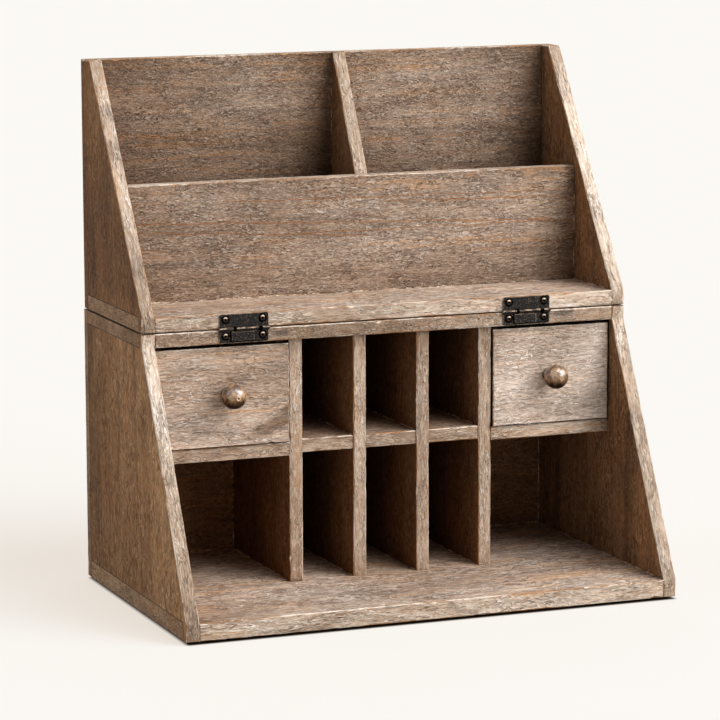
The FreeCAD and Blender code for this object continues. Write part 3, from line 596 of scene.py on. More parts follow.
# The left side is painted paler at the front and darker towards the rear, and the front edges of both sides change
# tone with height: painted light and shade, and tone.
weathered_board("lower_side_left", "lower_case", "z", 2, lower_side_wood, 1.3, 1.52, 1.0,
                shading_and_tone={"y": ((-110, 1.4), (-60, 1.25), (10, 1.0), (80, 0.8), (110, 0.6)),
                       "z": ((0, 1.1), (20, 0.95), (70, 0.85), (130, 1.0), (205, 1.12))},
                edge_shading_and_tone={"z": ((0, 0.75), (60, 0.82), (120, 0.95), (160, 1.15), (205, 1.2))})
weathered_board("lower_side_right", "lower_case", "z", 3, lower_side_wood, 1.08, 1.66, 0.85,
                edge_shading_and_tone={"z": ((0, 0.8), (100, 0.76), (150, 0.76), (175, 0.92), (195, 1.08))})


# Dividers.
# Four thin upright boards that part the drawers from the pigeonholes and stand on the bottom board.

DIVIDERS = ("left_outer", "left_inner", "right_inner", "right_outer")
DIVIDER_FACES = (-0.076, 0.084)


def beside_drawer_shade(tree, spot):
    """The same painted shade on the dividers that stand beside the drawers."""
    centre, reach = (DIVIDER_FACES[0] + DIVIDER_FACES[1]) / 2, (DIVIDER_FACES[1] - DIVIDER_FACES[0]) / 2
    beside = ramp(tree, apart(tree, spot["X"], centre), reach - 0.0004, reach - 0.0002)
    return opening_shade(tree, spot, beside)


# Its near-black mark colour paints shade into the drawer openings.
divider_wood = plank_material("divider wood, grain upright", "z", figure_depth=0.9, skin_depth=0.5,
                              skin_length=0.6, roughened=0.65, mark_color=(16, 11, 8),
                              marks_of=beside_drawer_shade, **SIDE_WOOD)
# The dividers are painted darker towards the back: painted shade.
for plank, place in enumerate(DIVIDERS, start=4):
    weathered_board("divider_" + place, "lower_case", "z", plank, divider_wood, 0.84, 1.34, 0.9,
                    shading_and_tone={"y": ((-20, 1.0), (60, 0.4))})


# Shelves.
# Short boards housed between the dividers: three carry the upper pigeonholes, two carry the drawers.

shelf_wood = plank_material("shelf wood", "x", figure_depth=0.4, skin_depth=0.4, skin_length=0.5, roughened=0.7,
                            **CASE_WOOD)
SHELF_TONES = {"pigeonhole_shelf_left": 1.3, "pigeonhole_shelf_middle": 1.28, "pigeonhole_shelf_right": 1.42,
               "drawer_shelf_left": 1.14, "drawer_shelf_right": 1.6}
# The shelves are painted darker towards the back: painted shade.
for plank, (node, paleness) in enumerate(SHELF_TONES.items(), start=8):
    weathered_board(node, "lower_case", "x", plank, shelf_wood, 1.25, paleness,
                    shading_and_tone={"y": ((-20, 1.0), (80, 0.6))})


# Lower top board and back panel.
# The top board closes the case and carries the lower hinge leaves; the back panel covers the rear edges
# of the sides and boards and is held with brads.

def iron_smears(tree, spot):
    """Grey smears that the iron hinges have left on the board's front, to the right of each."""
    left = soaked_patch(tree, spot, -0.084, 0.2020, 0.012, 0.003)
    right = soaked_patch(tree, spot, 0.139, 0.2035, 0.012, 0.003)
    return times(tree, figure(tree, "MAXIMUM", left, right), 0.75)


top_wood = plank_material("top board wood", "x", roughened=0.7, mark_color=(92, 84, 78), marks_of=iron_smears,
                          **CASE_WOOD)
# The top board's front edge is painted paler towards the right: painted light and tone.
weathered_board("lower_top_board", "lower_case", "x", 13, top_wood, 1.1, 0.98,
                edge_shading_and_tone={"x": ((-180, 0.9), (-60, 0.78), (0, 0.9), (60, 1.15), (110, 1.2), (180, 1.4))})
# The back panel is painted paler behind the right cubby: painted light.
weathered_board("lower_back_panel", "lower_case", "x", 14, case_wood_x, 0.95, 1.1, 0.85,
                shading_and_tone={"x": ((60, 1.0), (100, 1.25))})


# Drawers.
# Each is a paler front rebated over two sides, a lower back, and a floor held in grooves.

FRONT_WOOD = {"heart": (178, 151, 130), "shade": (154, 128, 108), "rust": (180, 142, 110), "film": (200, 181, 163),
              "bare": (228, 212, 196)}


def corner_stain(tree, spot):
    """Dark heartwood that sweeps up into the lower right corner of the left drawer's front."""
    low = soaked_patch(tree, spot, -0.087, 0.1350, 0.030, 0.0085, 0.34)
    corner = soaked_patch(tree, spot, -0.077, 0.1440, 0.010, 0.0070, 0.5)
    fleck = soaked_patch(tree, spot, -0.094, 0.1650, 0.004, 0.0012)
    low = figure(tree, "MAXIMUM", low, corner)
    return times(tree, figure(tree, "MAXIMUM", low, fleck), 0.8)


front_woods = {
    "left": plank_material("left drawer front wood", "x", skin_length=0.6, roughened=0.35, mark_color=(104, 78, 58),
                           marks_of=corner_stain, **FRONT_WOOD),
    "right": plank_material("right drawer front wood", "x", skin_length=0.6, roughened=0.35, **FRONT_WOOD),
}
box_woods = {"x": plank_material("drawer wood, grain across", "x", **CASE_WOOD),
             "y": plank_material("drawer wood, grain front to back", "y", **CASE_WOOD)}
BOX_GRAINS = {"side_left": "y", "side_right": "y", "back": "x", "floor": "y"}
# Tone across and up each drawer front: painted light and shade, and tone.
FRONT_SHADING_AND_TONE = {
    "left": {"x": ((-179, 1.3), (-150, 1.15), (-125, 0.95), (-95, 0.97), (-77, 1.08)),
             "z": ((120, 1.12), (143, 0.97), (158, 0.72), (185, 0.86))},
    "right": {"x": ((84, 1.12), (110, 1.05), (125, 0.86), (140, 0.92), (160, 1.12), (176, 1.6)),
              "z": ((120, 1.12), (146, 0.92), (158, 0.78), (190, 0.7))},
}
# The drawer fronts' narrow edges, ends and downward arrises are painted nearly black: painted shade in the gaps round
# each front.
GAP_SHADE_TONE = 0.1
for side, first_plank, paleness in (("left", 15, 1.57), ("right", 21, 2.15)):
    body = "drawer_" + side
    weathered_board(body + "_front", body, "x", first_plank, front_woods[side], paleness, GAP_SHADE_TONE,
                    shading_and_tone=FRONT_SHADING_AND_TONE[side], end_tone=GAP_SHADE_TONE, downward_shade_tone=GAP_SHADE_TONE)
    for plank, (part, grain) in enumerate(BOX_GRAINS.items(), start=first_plank + 1):
        weathered_board(f"{body}_{part}", body, grain, plank, box_woods[grain], 1.2, 1.2, wear=0.4)


# Letter rack.
# The upper section: a base board with through tongues, two sloping side panels, a back panel, a rack panel
# behind the open ledge, and one sloping divider.

def panel_lines(tree, spot):
    """Long orange lines of late wood across the rack panel."""
    lines = [fine_line(tree, spot, 0.2775, 0.036, -0.18, 0.185, 0.0007),
             fine_line(tree, spot, 0.2710, 0.055, -0.18, 0.02, 0.0006),
             fine_line(tree, spot, 0.2860, 0.022, 0.02, 0.185, 0.0007),
             fine_line(tree, spot, 0.2645, 0.0, -0.05, 0.185, 0.0006),
             fine_line(tree, spot, 0.2905, 0.01, -0.12, 0.185, 0.0005)]
    mask = lines[0]
    for line in lines[1:]:
        mask = figure(tree, "MAXIMUM", mask, line)
    return times(tree, mask, 0.9)


def back_knot(tree, spot):
    """One small knot in the upper back panel, with a scar beside it."""
    knot = soaked_patch(tree, spot, 0.0275, 0.3490, 0.0030, 0.0024)
    scar = soaked_patch(tree, spot, 0.0880, 0.3610, 0.0050, 0.0012)
    return times(tree, figure(tree, "MAXIMUM", knot, scar), 0.8)


UPPER_LEAN = 118 / 175
DIVIDER_LEAN = 46 / 88
upper_side_wood = plank_material("upper side wood, grain upright", "z", lean=UPPER_LEAN, figure_depth=1.0,
                                 skin_depth=0.55, skin_length=0.5, mark_color=(16, 11, 8), marks_of=dark_streaks,
                                 **SIDE_WOOD)
upper_divider_wood = plank_material("upper divider wood, grain upright", "z", lean=DIVIDER_LEAN,
                                    figure_depth=0.9, skin_depth=0.5, skin_length=0.6, **SIDE_WOOD)
ledge_wood = plank_material("ledge wood", "x", figure_depth=0.4, skin_depth=0.4, skin_length=0.4, roughened=0.7,
                            **CASE_WOOD)
rack_wood = plank_material("rack panel wood", "x", skin_length=0.8, mark_color=(142, 94, 58), marks_of=panel_lines,
                           **CASE_WOOD)
back_wood = plank_material("upper back wood", "x", mark_color=(96, 66, 44), marks_of=back_knot, **CASE_WOOD)
# The ledge, the sides, the back panel and the rack panel are painted darker where the divider, the sides and the rack
# panel throw shade, and paler where the light falls: painted light and shade, and tone.
weathered_board("upper_base_board", "letter_rack", "x", 25, ledge_wood, 1.76, 1.7,
                shading_and_tone={"x": ((-180, 0.85), (-120, 0.9), (-20, 1.05), (60, 1.05), (180, 0.95))},
                edge_shading_and_tone={"x": ((-180, 0.85), (-60, 0.82), (-20, 0.78), (60, 1.02), (110, 0.98), (180, 1.1))})
weathered_board("upper_side_left", "letter_rack", "z", 26, upper_side_wood, 1.04, 1.4, 1.0,
                shading_and_tone={"y": ((-20, 1.1), (60, 0.95), (110, 0.85)),
                       "z": ((205, 1.1), (235, 0.62), (290, 0.64), (340, 0.95), (390, 1.0))},
                edge_shading_and_tone={"z": ((205, 0.78), (240, 0.85), (260, 1.02), (290, 1.1), (330, 1.08), (391, 1.05))})
weathered_board("upper_side_right", "letter_rack", "z", 27, upper_side_wood, 0.9, 1.72, 0.9,
                edge_shading_and_tone={"z": ((205, 1.05), (250, 1.1), (280, 1.12), (310, 1.14), (340, 1.06), (370, 0.9),
                                  (391, 0.88))})
weathered_board("upper_back_panel", "letter_rack", "x", 28, back_wood, 1.08, 1.5,
                shading_and_tone={"x": ((-178, 0.72), (-130, 0.92), (-60, 1.12), (-25, 0.9), (4, 0.42), (6, 0.8), (30, 1.0),
                             (90, 1.24), (150, 1.2), (180, 0.8)),
                       "z": ((300, 0.66), (330, 0.86), (350, 1.12), (375, 1.12), (391, 0.92))})
weathered_board("rack_panel", "letter_rack", "x", 29, rack_wood, 1.25, 1.85,
                shading_and_tone={"x": ((-180, 0.78), (-120, 0.92), (-20, 1.08), (60, 1.2), (140, 1.18), (180, 0.86)),
                       "z": ((216, 0.86), (250, 0.98), (290, 1.1), (303, 1.08))},
                edge_shading_and_tone={"x": ((-180, 1.0), (180, 1.0))})
weathered_board("upper_divider", "letter_rack", "z", 30, upper_divider_wood, 0.74, 1.5, 0.85)


# Filler in the inner corners.
# Pale filler rubbed into the corners where boards meet. Most of it has stayed as a thin broken line.

FILLER_WIDTH = 0.0007
FILLER_STEP = 0.0012
LEAST_FILL = 0.25


def filler_paint():
    """Chalky filler, a little dirty."""
    material, tree, shader, place = start_material("pale filler")
    grit = cloud(tree, place, (420, 420, 420), 3.0, 0.65)
    color = blend(tree, ramp(tree, grit, 0.38, 0.6), tint(160, 124, 94), tint(226, 202, 176))
    tree.links.new(color, shader["Base Color"])
    shader["Roughness"].default_value = 0.9
    return material


def filler_line(name, body, start, end, first, second, kept=0.5, thickness=1.0):
    """A broken bead in the corner between two boards, whose faces run off towards first and second."""
    start, end, first, second = Vector(start), Vector(end), Vector(first), Vector(second)
    shape = bmesh.new()
    count = round((end - start).length / FILLER_STEP)
    before = None
    for step in range(count + 1):
        place = start.lerp(end, step / count)
        fill = kept + 1.1 * noise.noise(place * 95) + 0.8 * noise.noise(place * 410)
        row = None
        if fill > LEAST_FILL:
            width = FILLER_WIDTH * min(1.0, fill) * thickness
            row = [shape.verts.new(place), shape.verts.new(place + first * width),
                   shape.verts.new(place + second * width)]
            if before:
                for one, two in ((0, 1), (1, 2), (2, 0)):
                    shape.faces.new((before[one], before[two], row[two], row[one]))
        before = row
    bmesh.ops.recalc_face_normals(shape, faces=shape.faces)
    for vert in [vert for vert in shape.verts if not vert.link_faces]:
        shape.verts.remove(vert)
    mesh = finished_mesh(shape, name)
    mesh.materials.append(pale_filler)
    bead = stand(name, mesh)
    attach(bead, body)


pale_filler = filler_paint()
LEFT, UP, FRONT = Vector((-1, 0, 0)), Vector((0, 0, 1)), Vector((0, -1, 0))
floor_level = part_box("bottom_board")[1][2]
back_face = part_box("lower_back_panel")[0][1]
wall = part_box("lower_side_right")[0][0]
drawer_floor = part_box("drawer_shelf_right")[0][2]
bays = [(side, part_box("divider_" + side)) for side in DIVIDERS]
left_end, right_end = bays[0][1][0][0], bays[-1][1][1][0]
case_beads = [
    ("cubby_right_back", (right_end, back_face, floor_level), (wall, back_face, floor_level), FRONT, UP, 0.75),
    ("cubby_right_side", (wall, -0.1, floor_level), (wall, back_face, floor_level), LEFT, UP),
    ("cubby_right_corner", (wall, back_face, floor_level), (wall, back_face, drawer_floor), LEFT, FRONT, 0.7),
    ("cubby_left_back", (-wall, back_face, floor_level), (left_end, back_face, floor_level), FRONT, UP, 0.6),
    ("cubby_left_corner", (left_end, back_face, floor_level), (left_end, back_face, drawer_floor), LEFT, FRONT, 0.3)]
for side, (low, _) in bays:
    case_beads.append((side + "_foot", (low[0], low[1] + 0.003, floor_level), (low[0], back_face, floor_level),
                       LEFT, UP, 0.45))
for part, (_, (low, _)) in zip(("left", "middle", "right"), bays[1:]):
    shelf_low, shelf_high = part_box("pigeonhole_shelf_" + part)
    case_beads.append(("shelf_" + part, (low[0], shelf_low[1] + 0.003, shelf_high[2]),
                       (low[0], back_face, shelf_high[2]), LEFT, UP, 0.5))
ledge_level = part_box("upper_base_board")[1][2]
rack_face, rack_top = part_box("rack_panel")[0][1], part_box("rack_panel")[1][2]
upper_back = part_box("upper_back_panel")[0][1]
post_low, post_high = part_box("upper_divider")
rack_beads = [
    ("ledge_back", (-wall, rack_face, ledge_level), (wall, rack_face, ledge_level), FRONT, UP, 0.3),
    ("ledge_side", (wall, -0.014, ledge_level), (wall, rack_face, ledge_level), LEFT, UP),
    ("rack_side", (wall, rack_face, ledge_level), (wall, rack_face, rack_top - 0.003), LEFT, FRONT, 0.35, 0.6),
    ("back_divider", (post_low[0], upper_back, rack_top), (post_low[0], upper_back, post_high[2] - 0.004),
     LEFT, FRONT, 0.3, 0.5)]
for body, beads in (("lower_case", case_beads), ("letter_rack", rack_beads)):
    for name, *run in beads:
        filler_line("filler_" + name, body, *run)


# Hinges.
# Surface hinges cut by hand from sheet iron, rolled round a pin and blackened. Handling has rubbed the corners
# to brown metal and the upper side of the knuckles, which is also painted pale as a highlight. Painted shade,
# black, sits round and in the screw heads, in the knuckle gaps and beside the raised boss.

HINGE_MIDDLES = (-0.113, 0.1095)
PIN_LEVEL = 0.2070
SCREW_SPREAD = 0.0142
SCREW_LEVELS = (0.2020, 0.2141)
LEAF_FRONT = -0.0248
BOSS_FRONT = -0.0258
KNUCKLE_HALF = 0.0018
SHADE_RING = (0.0020, 0.0032)
OUTER_RIM = 0.0021
LEAF_STEP = 0.0006
RAGGED = 0.0003
FOOT_CORNER = 0.0030
HEAD_CORNER = 0.0018
KNUCKLE_GAPS = ((-0.0087, -0.0062), (0.0111, 0.0138))


def screw_reach(place):
    """The distance from a place to the axis of the nearest hinge screw."""
    return min(math.hypot(place.x - middle - step, place.z - level)
               for middle in HINGE_MIDDLES for step in (-SCREW_SPREAD, SCREW_SPREAD) for level in SCREW_LEVELS)


def metal_with_painted_shade(name, clean, worn, painted_shade, roughness, metallic, grit, sheen=0.5, spots_of=None):
    """Dark metal with a gritty skin, brown where it is rubbed and where a highlight is painted, and black and without
    gloss where shade is painted. spots_of gives both masks for a part whose mesh holds none."""
    material, tree, shader, place = start_material(name)
    speckle = cloud(tree, place, (grit, grit, grit), 3.0, 0.7)
    smear = cloud(tree, place, (210, 900, 900), 3.0, 0.6)
    rubbed = wire(tree, "Attribute", attribute_name="rubbed").outputs["Fac"]
    painted_shade_mask = wire(tree, "Attribute", attribute_name="painted_shade_mask").outputs["Fac"]
    rub = times(tree, rubbed, ramp(tree, smear, 0.44, 0.54, 0.1, 0.95))
    if spots_of is not None:
        painted_shade_mask, rub = spots_of(tree, place)
    rub = figure(tree, "MAXIMUM", rub, ramp(tree, speckle, 0.56, 0.7, 0.0, 0.35))
    color = blend(tree, rub, tint(*clean), tint(*worn))
    color = blend(tree, painted_shade_mask, color, tint(*painted_shade))
    tree.links.new(color, shader["Base Color"])
    tree.links.new(ramp(tree, speckle, 0.35, 0.7, roughness + 0.12, roughness - 0.12), shader["Roughness"])
    shader["Metallic"].default_value = metallic
    tree.links.new(ramp(tree, painted_shade_mask, 0.0, 0.8, sheen, 0.0), shader["Specular IOR Level"])
    relieve(tree, shader, speckle, 0.0005, 0.7)
    return material


def hinge_leaf(node, body, middle, metal):
    """A worn copy of one leaf, with a ragged outline, in place of its CAD node. Its points carry the rubs with their
    painted highlight, and the painted shade round the screws, in the knuckle gaps and beside the boss.
    """
    shape = copied_shape(node)
    saw_marks(shape, 0, LEAF_STEP)
    saw_marks(shape, 2, LEAF_STEP)
    shape.normal_update()
    low = min(vert.co.x for vert in shape.verts)
    high = max(vert.co.x for vert in shape.verts)
    bottom = min(vert.co.z for vert in shape.verts)
    top = max(vert.co.z for vert in shape.verts)
    boss = [vert.co for vert in shape.verts
            if abs(vert.co.y - BOSS_FRONT) < 1e-5 and abs(vert.co.z - PIN_LEVEL) > 0.0016]
    rubs_and_highlights, painted_shades, moves = [], [], {}
    for vert in shape.verts:
        place = vert.co
        turn = max(edge.calc_face_angle(0.0) for edge in vert.link_edges)
        rub = 0.8 if turn > math.radians(35) and place.y < LEAF_FRONT + 1e-4 else 0.0
        # Rings round the screw heads are painted black: painted shade.
        painted_shade = 1.0 if SHADE_RING[0] < screw_reach(place) < SHADE_RING[1] else 0.0
        # On the barrel, the upper side is rubbed and painted pale, wear and a painted highlight, and the gaps between
        # knuckles are painted black as shade.
        if abs(place.z - PIN_LEVEL) < KNUCKLE_HALF:
            rub = 1.0 if place.z > PIN_LEVEL + 0.0004 and place.y < BOSS_FRONT else 0.0
            if any(first < place.x - middle < last for first, last in KNUCKLE_GAPS):
                painted_shade, rub = 1.0, 0.0
        # Beside and under the raised boss the leaf is painted black: a painted shadow.
        if boss and place.y > LEAF_FRONT - 1e-4:
            beside = min(corner.x for corner in boss) - place.x
            under = min(corner.z for corner in boss) - place.z
            if -1e-4 < beside < 0.0013 and under < 0.0008 or -1e-4 < under < 0.0008 and beside < 0.0:
                painted_shade = max(painted_shade, 0.9)
        rim = [face.normal for face in vert.link_faces if abs(face.normal.y) < 0.3]
        outer = min(place.x - low, high - place.x, place.z - bottom, top - place.z) < OUTER_RIM
        if rim and outer and abs(place.z - PIN_LEVEL) > KNUCKLE_HALF:
            inward = -sum(rim, Vector()).normalized()
            moves[vert] = inward * RAGGED * (0.6 + noise.noise(Vector((place.x, 0, place.z)) * 620))
        corner, end = (FOOT_CORNER, bottom) if top < PIN_LEVEL + 0.003 else (HEAD_CORNER, top)
        inside = Vector((corner - min(place.x - low, high - place.x), corner - abs(place.z - end)))
        if min(inside) > 0 and inside.length > corner:
            back = inside * (1 - corner / inside.length)
            moves[vert] = moves.get(vert, Vector()) + Vector((math.copysign(back.x, middle - place.x), 0,
                                                              math.copysign(back.y, PIN_LEVEL - end)))
        rubs_and_highlights.append(rub)
        painted_shades.append(painted_shade)
    for vert, shift in moves.items():
        vert.co += Vector((shift.x, 0, shift.z))
    mesh = finished_mesh(shape, node + "_worn")
    for name, values in (("rubbed", rubs_and_highlights), ("painted_shade_mask", painted_shades)):
        mesh.attributes.new(name, "FLOAT", "POINT").data.foreach_set("value", values)
    mesh.shade_smooth()
    mesh.set_sharp_from_angle(angle=math.radians(30))
    mesh.materials.append(metal)
    leaf = stand(node + "_iron", mesh)
    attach(leaf, body)
    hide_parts(node)


def screw_shade_and_highlight(tree, place):
    """Painted shade, black, in the recess of each screw head and round its rim, and a painted highlight on its upper
    side.
    """
    spot = wire(tree, "SeparateXYZ", {0: place}).outputs
    half = (HINGE_MIDDLES[1] - HINGE_MIDDLES[0]) / 2
    centre = (HINGE_MIDDLES[0] + HINGE_MIDDLES[1]) / 2
    level = sum(SCREW_LEVELS) / 2
    x = figure(tree, "SUBTRACT", apart(tree, apart(tree, spot["X"], centre), half), SCREW_SPREAD)
    row = figure(tree, "SUBTRACT", spot["Z"], level)
    z = figure(tree, "SUBTRACT", figure(tree, "ABSOLUTE", row), SCREW_LEVELS[1] - level)
    reach = distance(tree, x, z)
    painted_shade = figure(tree, "MAXIMUM", ramp(tree, reach, 0.0007, 0.0011, 1.0, 0.0), ramp(tree, reach, 0.0017, 0.0021))
    rise = times(tree, z, figure(tree, "SIGN", row))
    return painted_shade, ramp(tree, rise, 0.0005, 0.0015, 0.0, 0.8)


iron = metal_with_painted_shade("blackened iron, painted shade and highlight", (26, 24, 23), (186, 160, 136), (2, 2, 2), 0.45, 0.15, 1100, 0.12)
pin_iron = metal_with_painted_shade("rubbed hinge pin", (120, 106, 94), (170, 150, 132), (8, 8, 8), 0.35, 0.5, 900, 0.3)
screw_iron = metal_with_painted_shade("screw head, painted shade and highlight", (50, 38, 30), (214, 190, 166), (3, 2, 2), 0.32, 0.4, 900, 0.3,
                         screw_shade_and_highlight)
for middle, side in zip(HINGE_MIDDLES, ("left", "right")):
    hinge_leaf(f"hinge_{side}_lower_leaf", "lower_case", middle, iron)
    hinge_leaf(f"hinge_{side}_upper_leaf", "letter_rack", middle, iron)
dress(pin_iron, "hinge_left_pin", "hinge_right_pin")
dress(screw_iron, "hinge_screws_lower", "hinge_screws_upper")


# Knobs and fixings.
# Turned knobs rubbed with brown wax until they look like old bronze, each with a small turned ring on its nose.
# The steel screws and brads mostly stay out of sight.

NECK_BACK = -0.0245
NECK_FRONT = -0.0285
NOSE_REACH = 0.0024
RING_REACH = 0.00125
RING_THICK = 0.00055
RING_SIDES = 28


def waxed_knob(side, dark, brown, gold):
    """Waxed hardwood that shines like bronze: mottled, faintly faceted and rubbed pale on the nose. The neck
    and the underside are painted dark, and the underside has almost no gloss: painted shade."""
    low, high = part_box(f"drawer_{side}_knob")
    material, tree, shader, place = start_material(side + " knob, bronze wax")
    spot = wire(tree, "SeparateXYZ", {0: place}).outputs
    patches = cloud(tree, place, (190, 190, 190), 3.0, 0.6, 0.6)
    specks = cloud(tree, place, (900, 900, 900), 2.0, 0.6)
    color = blend(tree, ramp(tree, patches, 0.42, 0.6), tint(*brown), tint(*gold))
    x = figure(tree, "SUBTRACT", spot["X"], (low[0] + high[0]) / 2)
    z = figure(tree, "SUBTRACT", spot["Z"], (low[2] + high[2]) / 2)
    reach = distance(tree, x, z)
    reach = figure(tree, "ADD", reach, figure(tree, "MULTIPLY_ADD", patches, 0.003, -0.0015))
    color = blend(tree, ramp(tree, reach, NOSE_REACH, NOSE_REACH - 0.0005, 0.0, 0.7), color, tint(*gold))
    color = blend(tree, ramp(tree, specks, 0.5, 0.36, 0.0, 0.6), color, tint(*dark))
    up = wire(tree, "SeparateXYZ", {0: wire(tree, "NewGeometry").outputs["Normal"]}).outputs["Z"]
    # The neck and the underside are painted dark: painted shade.
    under = ramp(tree, up, 0.15, -0.75, 0.0, 0.95)
    neck_and_underside_shade = figure(tree, "MAXIMUM", ramp(tree, spot["Y"], NECK_FRONT, NECK_BACK), under)
    color = blend(tree, neck_and_underside_shade, color, tint(26, 17, 12))
    tree.links.new(color, shader["Base Color"])
    tree.links.new(ramp(tree, patches, 0.35, 0.65, 0.44, 0.34), shader["Roughness"])
    shader["Metallic"].default_value = 0.12
    # The underside has almost no gloss, so it stays dark: painted shade.
    tree.links.new(ramp(tree, up, -0.4, 0.3, 0.02, 0.3), shader["Specular IOR Level"])
    tree.links.new(ramp(tree, up, -0.35, 0.35, 0.02, 1.0), shader["Coat Weight"])
    shader["Coat Roughness"].default_value = 0.24
    shader["Coat IOR"].default_value = 1.95
    scaled = arrow(tree, "MULTIPLY", place, (210, 210, 210))
    facets = wire(tree, "TexVoronoi", {"Vector": scaled, "Scale": 1.0, "Smoothness": 0.25},
                  feature="SMOOTH_F1").outputs["Distance"]
    height = figure(tree, "MULTIPLY_ADD", facets, 0.8, times(tree, specks, 0.1))
    relieve(tree, shader, height, 0.0012, 0.4)
    return material


def nose_ring(side, metal, pit):
    """The small raised ring that the lathe has left on a knob's nose, closed in the middle by a flat dark disc."""
    low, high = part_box(f"drawer_{side}_knob")
    nose = Vector(((low[0] + high[0]) / 2, low[1], (low[2] + high[2]) / 2))
    shape = bmesh.new()
    loops = []
    for turn in (math.tau * step / RING_SIDES for step in range(RING_SIDES)):
        loop = []
        for roll in (math.tau * step / 8 for step in range(8)):
            reach = RING_REACH + math.cos(roll) * RING_THICK
            rise = math.sin(roll) * RING_THICK * 0.7 + 0.0001
            loop.append(shape.verts.new(nose + Vector((math.cos(turn) * reach, -rise, math.sin(turn) * reach))))
        loops.append(loop)
    for first, second in zip(loops, loops[1:] + loops[:1]):
        for step in range(8):
            after = (step + 1) % 8
            shape.faces.new((first[step], first[after], second[after], second[step]))
    floor_verts = [loop[4] for loop in loops]
    shape.faces.new(floor_verts).material_index = 1
    bmesh.ops.recalc_face_normals(shape, faces=shape.faces)
    mesh = finished_mesh(shape, f"drawer_{side}_nose_ring")
    mesh.shade_smooth()
    mesh.materials.append(metal)
    mesh.materials.append(pit)
    ring = stand(f"drawer_{side}_nose_ring", mesh)
    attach(ring, "drawer_" + side)


steel = metal_with_painted_shade("dull steel", (120, 118, 116), (170, 168, 164), (60, 58, 56), 0.4, 1.0, 420)
rubbed_ring = metal_with_painted_shade("rubbed ring", (216, 176, 136), (236, 204, 168), (120, 90, 66), 0.4, 0.1, 700)
dark_pit_disc = metal_with_painted_shade("dark disc in the ring", (44, 30, 22), (70, 50, 36), (20, 14, 10), 0.8, 0.0, 700, 0.1)
for side in ("left", "right"):
    dress(waxed_knob(side, (42, 27, 17), (98, 70, 48), (188, 147, 108)), f"drawer_{side}_knob")
dress(steel, "drawer_left_knob_screw", "drawer_right_knob_screw", "back_brads")
nose_ring("left", rubbed_ring, dark_pit_disc)


# Floor.
# A plain pale sweep. It shows as pale as the studio's backdrop and keeps the caddy's shadow.

FLOOR_CHIP = (249, 245, 240)
SHADOW_GLOW = (0.74, 0.66, 0.585, 1)
SHADOW_PAINT = (0.2, 0.25, 0.28, 1)
# Under the caddy and in a thin band round its foot the floor is painted dark: a painted contact shadow.
CONTACT_SHADOW_PAINT = (0.05, 0.036, 0.026, 1)
UNSEEN_PAINT = (0.5, 0.49, 0.47, 1)
NO_LIGHT = (0, 0, 0, 1)
CONTACT_SPREAD = 0.005
LEFT_LIGHT = 0.0025
FRONT_LIGHT = 0.004
case_low, case_high = cad_box


def backdrop_rays(tree):
    """The rays that see the pale backdrop: the camera's, and those that metal and glass send on."""
    rays = wire(tree, "LightPath").outputs
    passed_on = figure(tree, "ADD", rays["Is Glossy Ray"], rays["Is Transmission Ray"])
    return figure(tree, "ADD", rays["Is Camera Ray"], passed_on, clamp=True)


floor_mesh = bpy.data.meshes.new("studio_floor")
floor_mesh.from_pydata([(-20, -20, 0), (20, -20, 0), (20, 20, 0), (-20, 20, 0)], [], [(0, 1, 2, 3)])
floor = stand("studio_floor", floor_mesh)
floor_paint, tree, paint, floor_place = start_material("studio floor")
seen = backdrop_rays(tree)
middle_place = (LEFT_LIGHT / 2, (case_low[1] + case_high[1] + FRONT_LIGHT) / 2, 0)
spot = arrow(tree, "ABSOLUTE", arrow(tree, "SUBTRACT", floor_place, middle_place))
dark_half = (case_high[0] - LEFT_LIGHT, (case_high[1] - case_low[1] - FRONT_LIGHT) / 2, 1.0)
outside = arrow(tree, "MAXIMUM", arrow(tree, "SUBTRACT", spot, dark_half), (0, 0, 0))
away = wire(tree, "VectorMath", {0: outside}, operation="LENGTH").outputs["Value"]
open_floor = ramp(tree, away, 0.0, CONTACT_SPREAD)
# The painted contact shadow: dark under and close round the caddy.
painted = blend(tree, open_floor, CONTACT_SHADOW_PAINT, SHADOW_PAINT)
glow = blend(tree, open_floor, NO_LIGHT, SHADOW_GLOW)
tree.links.new(blend(tree, seen, UNSEEN_PAINT, painted), paint["Base Color"])
tree.links.new(blend(tree, seen, NO_LIGHT, glow), paint["Emission Color"])
paint["Emission Strength"].default_value = 1.0
paint["Roughness"].default_value = 1.0
paint["Specular IOR Level"].default_value = 0.0
floor_mesh.materials.append(floor_paint)


# Light.
# A broad soft key from the right and above, and weak fills from the left and behind, in a dim even room.

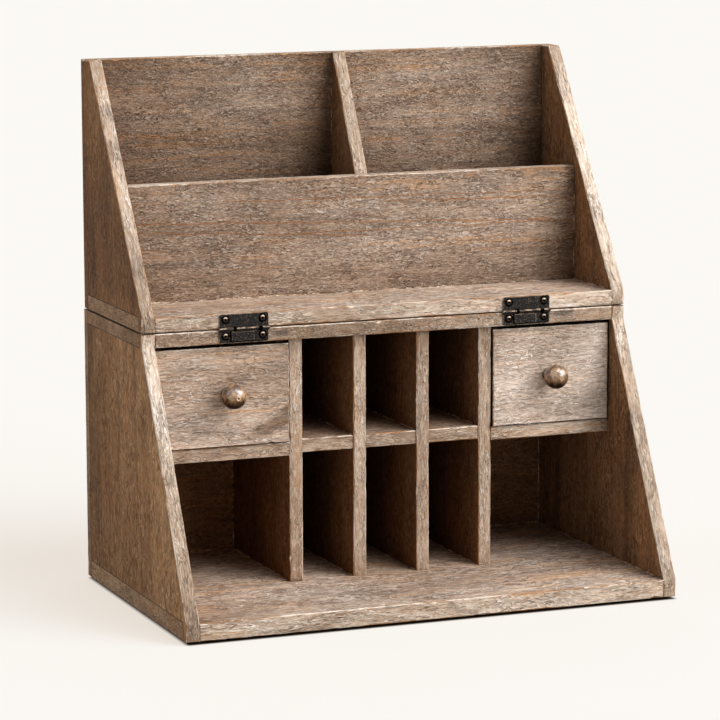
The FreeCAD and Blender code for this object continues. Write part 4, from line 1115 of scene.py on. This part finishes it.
def soft_sun(name, azimuth, elevation, strength, angle):
    """A wide sun that shines from azimuth degrees right of the front."""
    lamp = stand(name, bpy.data.lights.new(name, "SUN"))
    turn, rise = math.radians(azimuth), math.radians(elevation)
    away = Vector((math.sin(turn) * math.cos(rise), -math.cos(turn) * math.cos(rise), math.sin(rise)))
    lamp.matrix_world = away.to_track_quat("Z", "Y").to_matrix().to_4x4()
    lamp.data.energy = strength
    lamp.data.angle = math.radians(angle)


soft_sun("key", 58, 34, 1.95, 36)
soft_sun("high key", 30, 56, 1.15, 36)
soft_sun("low key", 30, 16, 1.25, 36)
soft_sun("left fill", -108, 28, 0.7, 60)
soft_sun("rear fill", 150, 40, 0.7, 60)
ROOM_LIGHT = 0.15
room = bpy.data.worlds.new("room")
bpy.context.scene.world = room
room.use_nodes = True
tree = room.node_tree
backdrop = tree.nodes["Background"].inputs
backdrop["Color"].default_value = tint(*FLOOR_CHIP)
strength = figure(tree, "MULTIPLY_ADD", backdrop_rays(tree), 1 - ROOM_LIGHT, ROOM_LIGHT)
tree.links.new(strength, backdrop["Strength"])


# Camera.
# It stands left of the front and a little above, as the photograph was taken.

CAMERA_PLACE = Vector((-0.9549, -2.3938, 0.5963))
CAMERA_YAW, CAMERA_PITCH, CAMERA_ROLL = (math.radians(angle) for angle in (-21.465, -9.324, -0.174))
LENS = 176.58
ahead = Vector((-math.sin(CAMERA_YAW) * math.cos(CAMERA_PITCH), math.cos(CAMERA_YAW) * math.cos(CAMERA_PITCH),
                math.sin(CAMERA_PITCH)))
level = Vector((math.cos(CAMERA_YAW), math.sin(CAMERA_YAW), 0))
upright = level.cross(ahead)
right = level * math.cos(CAMERA_ROLL) + upright * math.sin(CAMERA_ROLL)
top = upright * math.cos(CAMERA_ROLL) - level * math.sin(CAMERA_ROLL)
camera = stand("camera", bpy.data.cameras.new("camera"))
camera.data.lens = LENS
camera.data.sensor_width = 36
camera.data.clip_end = 60
camera.matrix_world = Matrix.Translation(CAMERA_PLACE) @ Matrix((right, top, -ahead)).transposed().to_4x4()
bpy.context.scene.camera = camera
bpy.context.scene.view_settings.view_transform = "Standard"
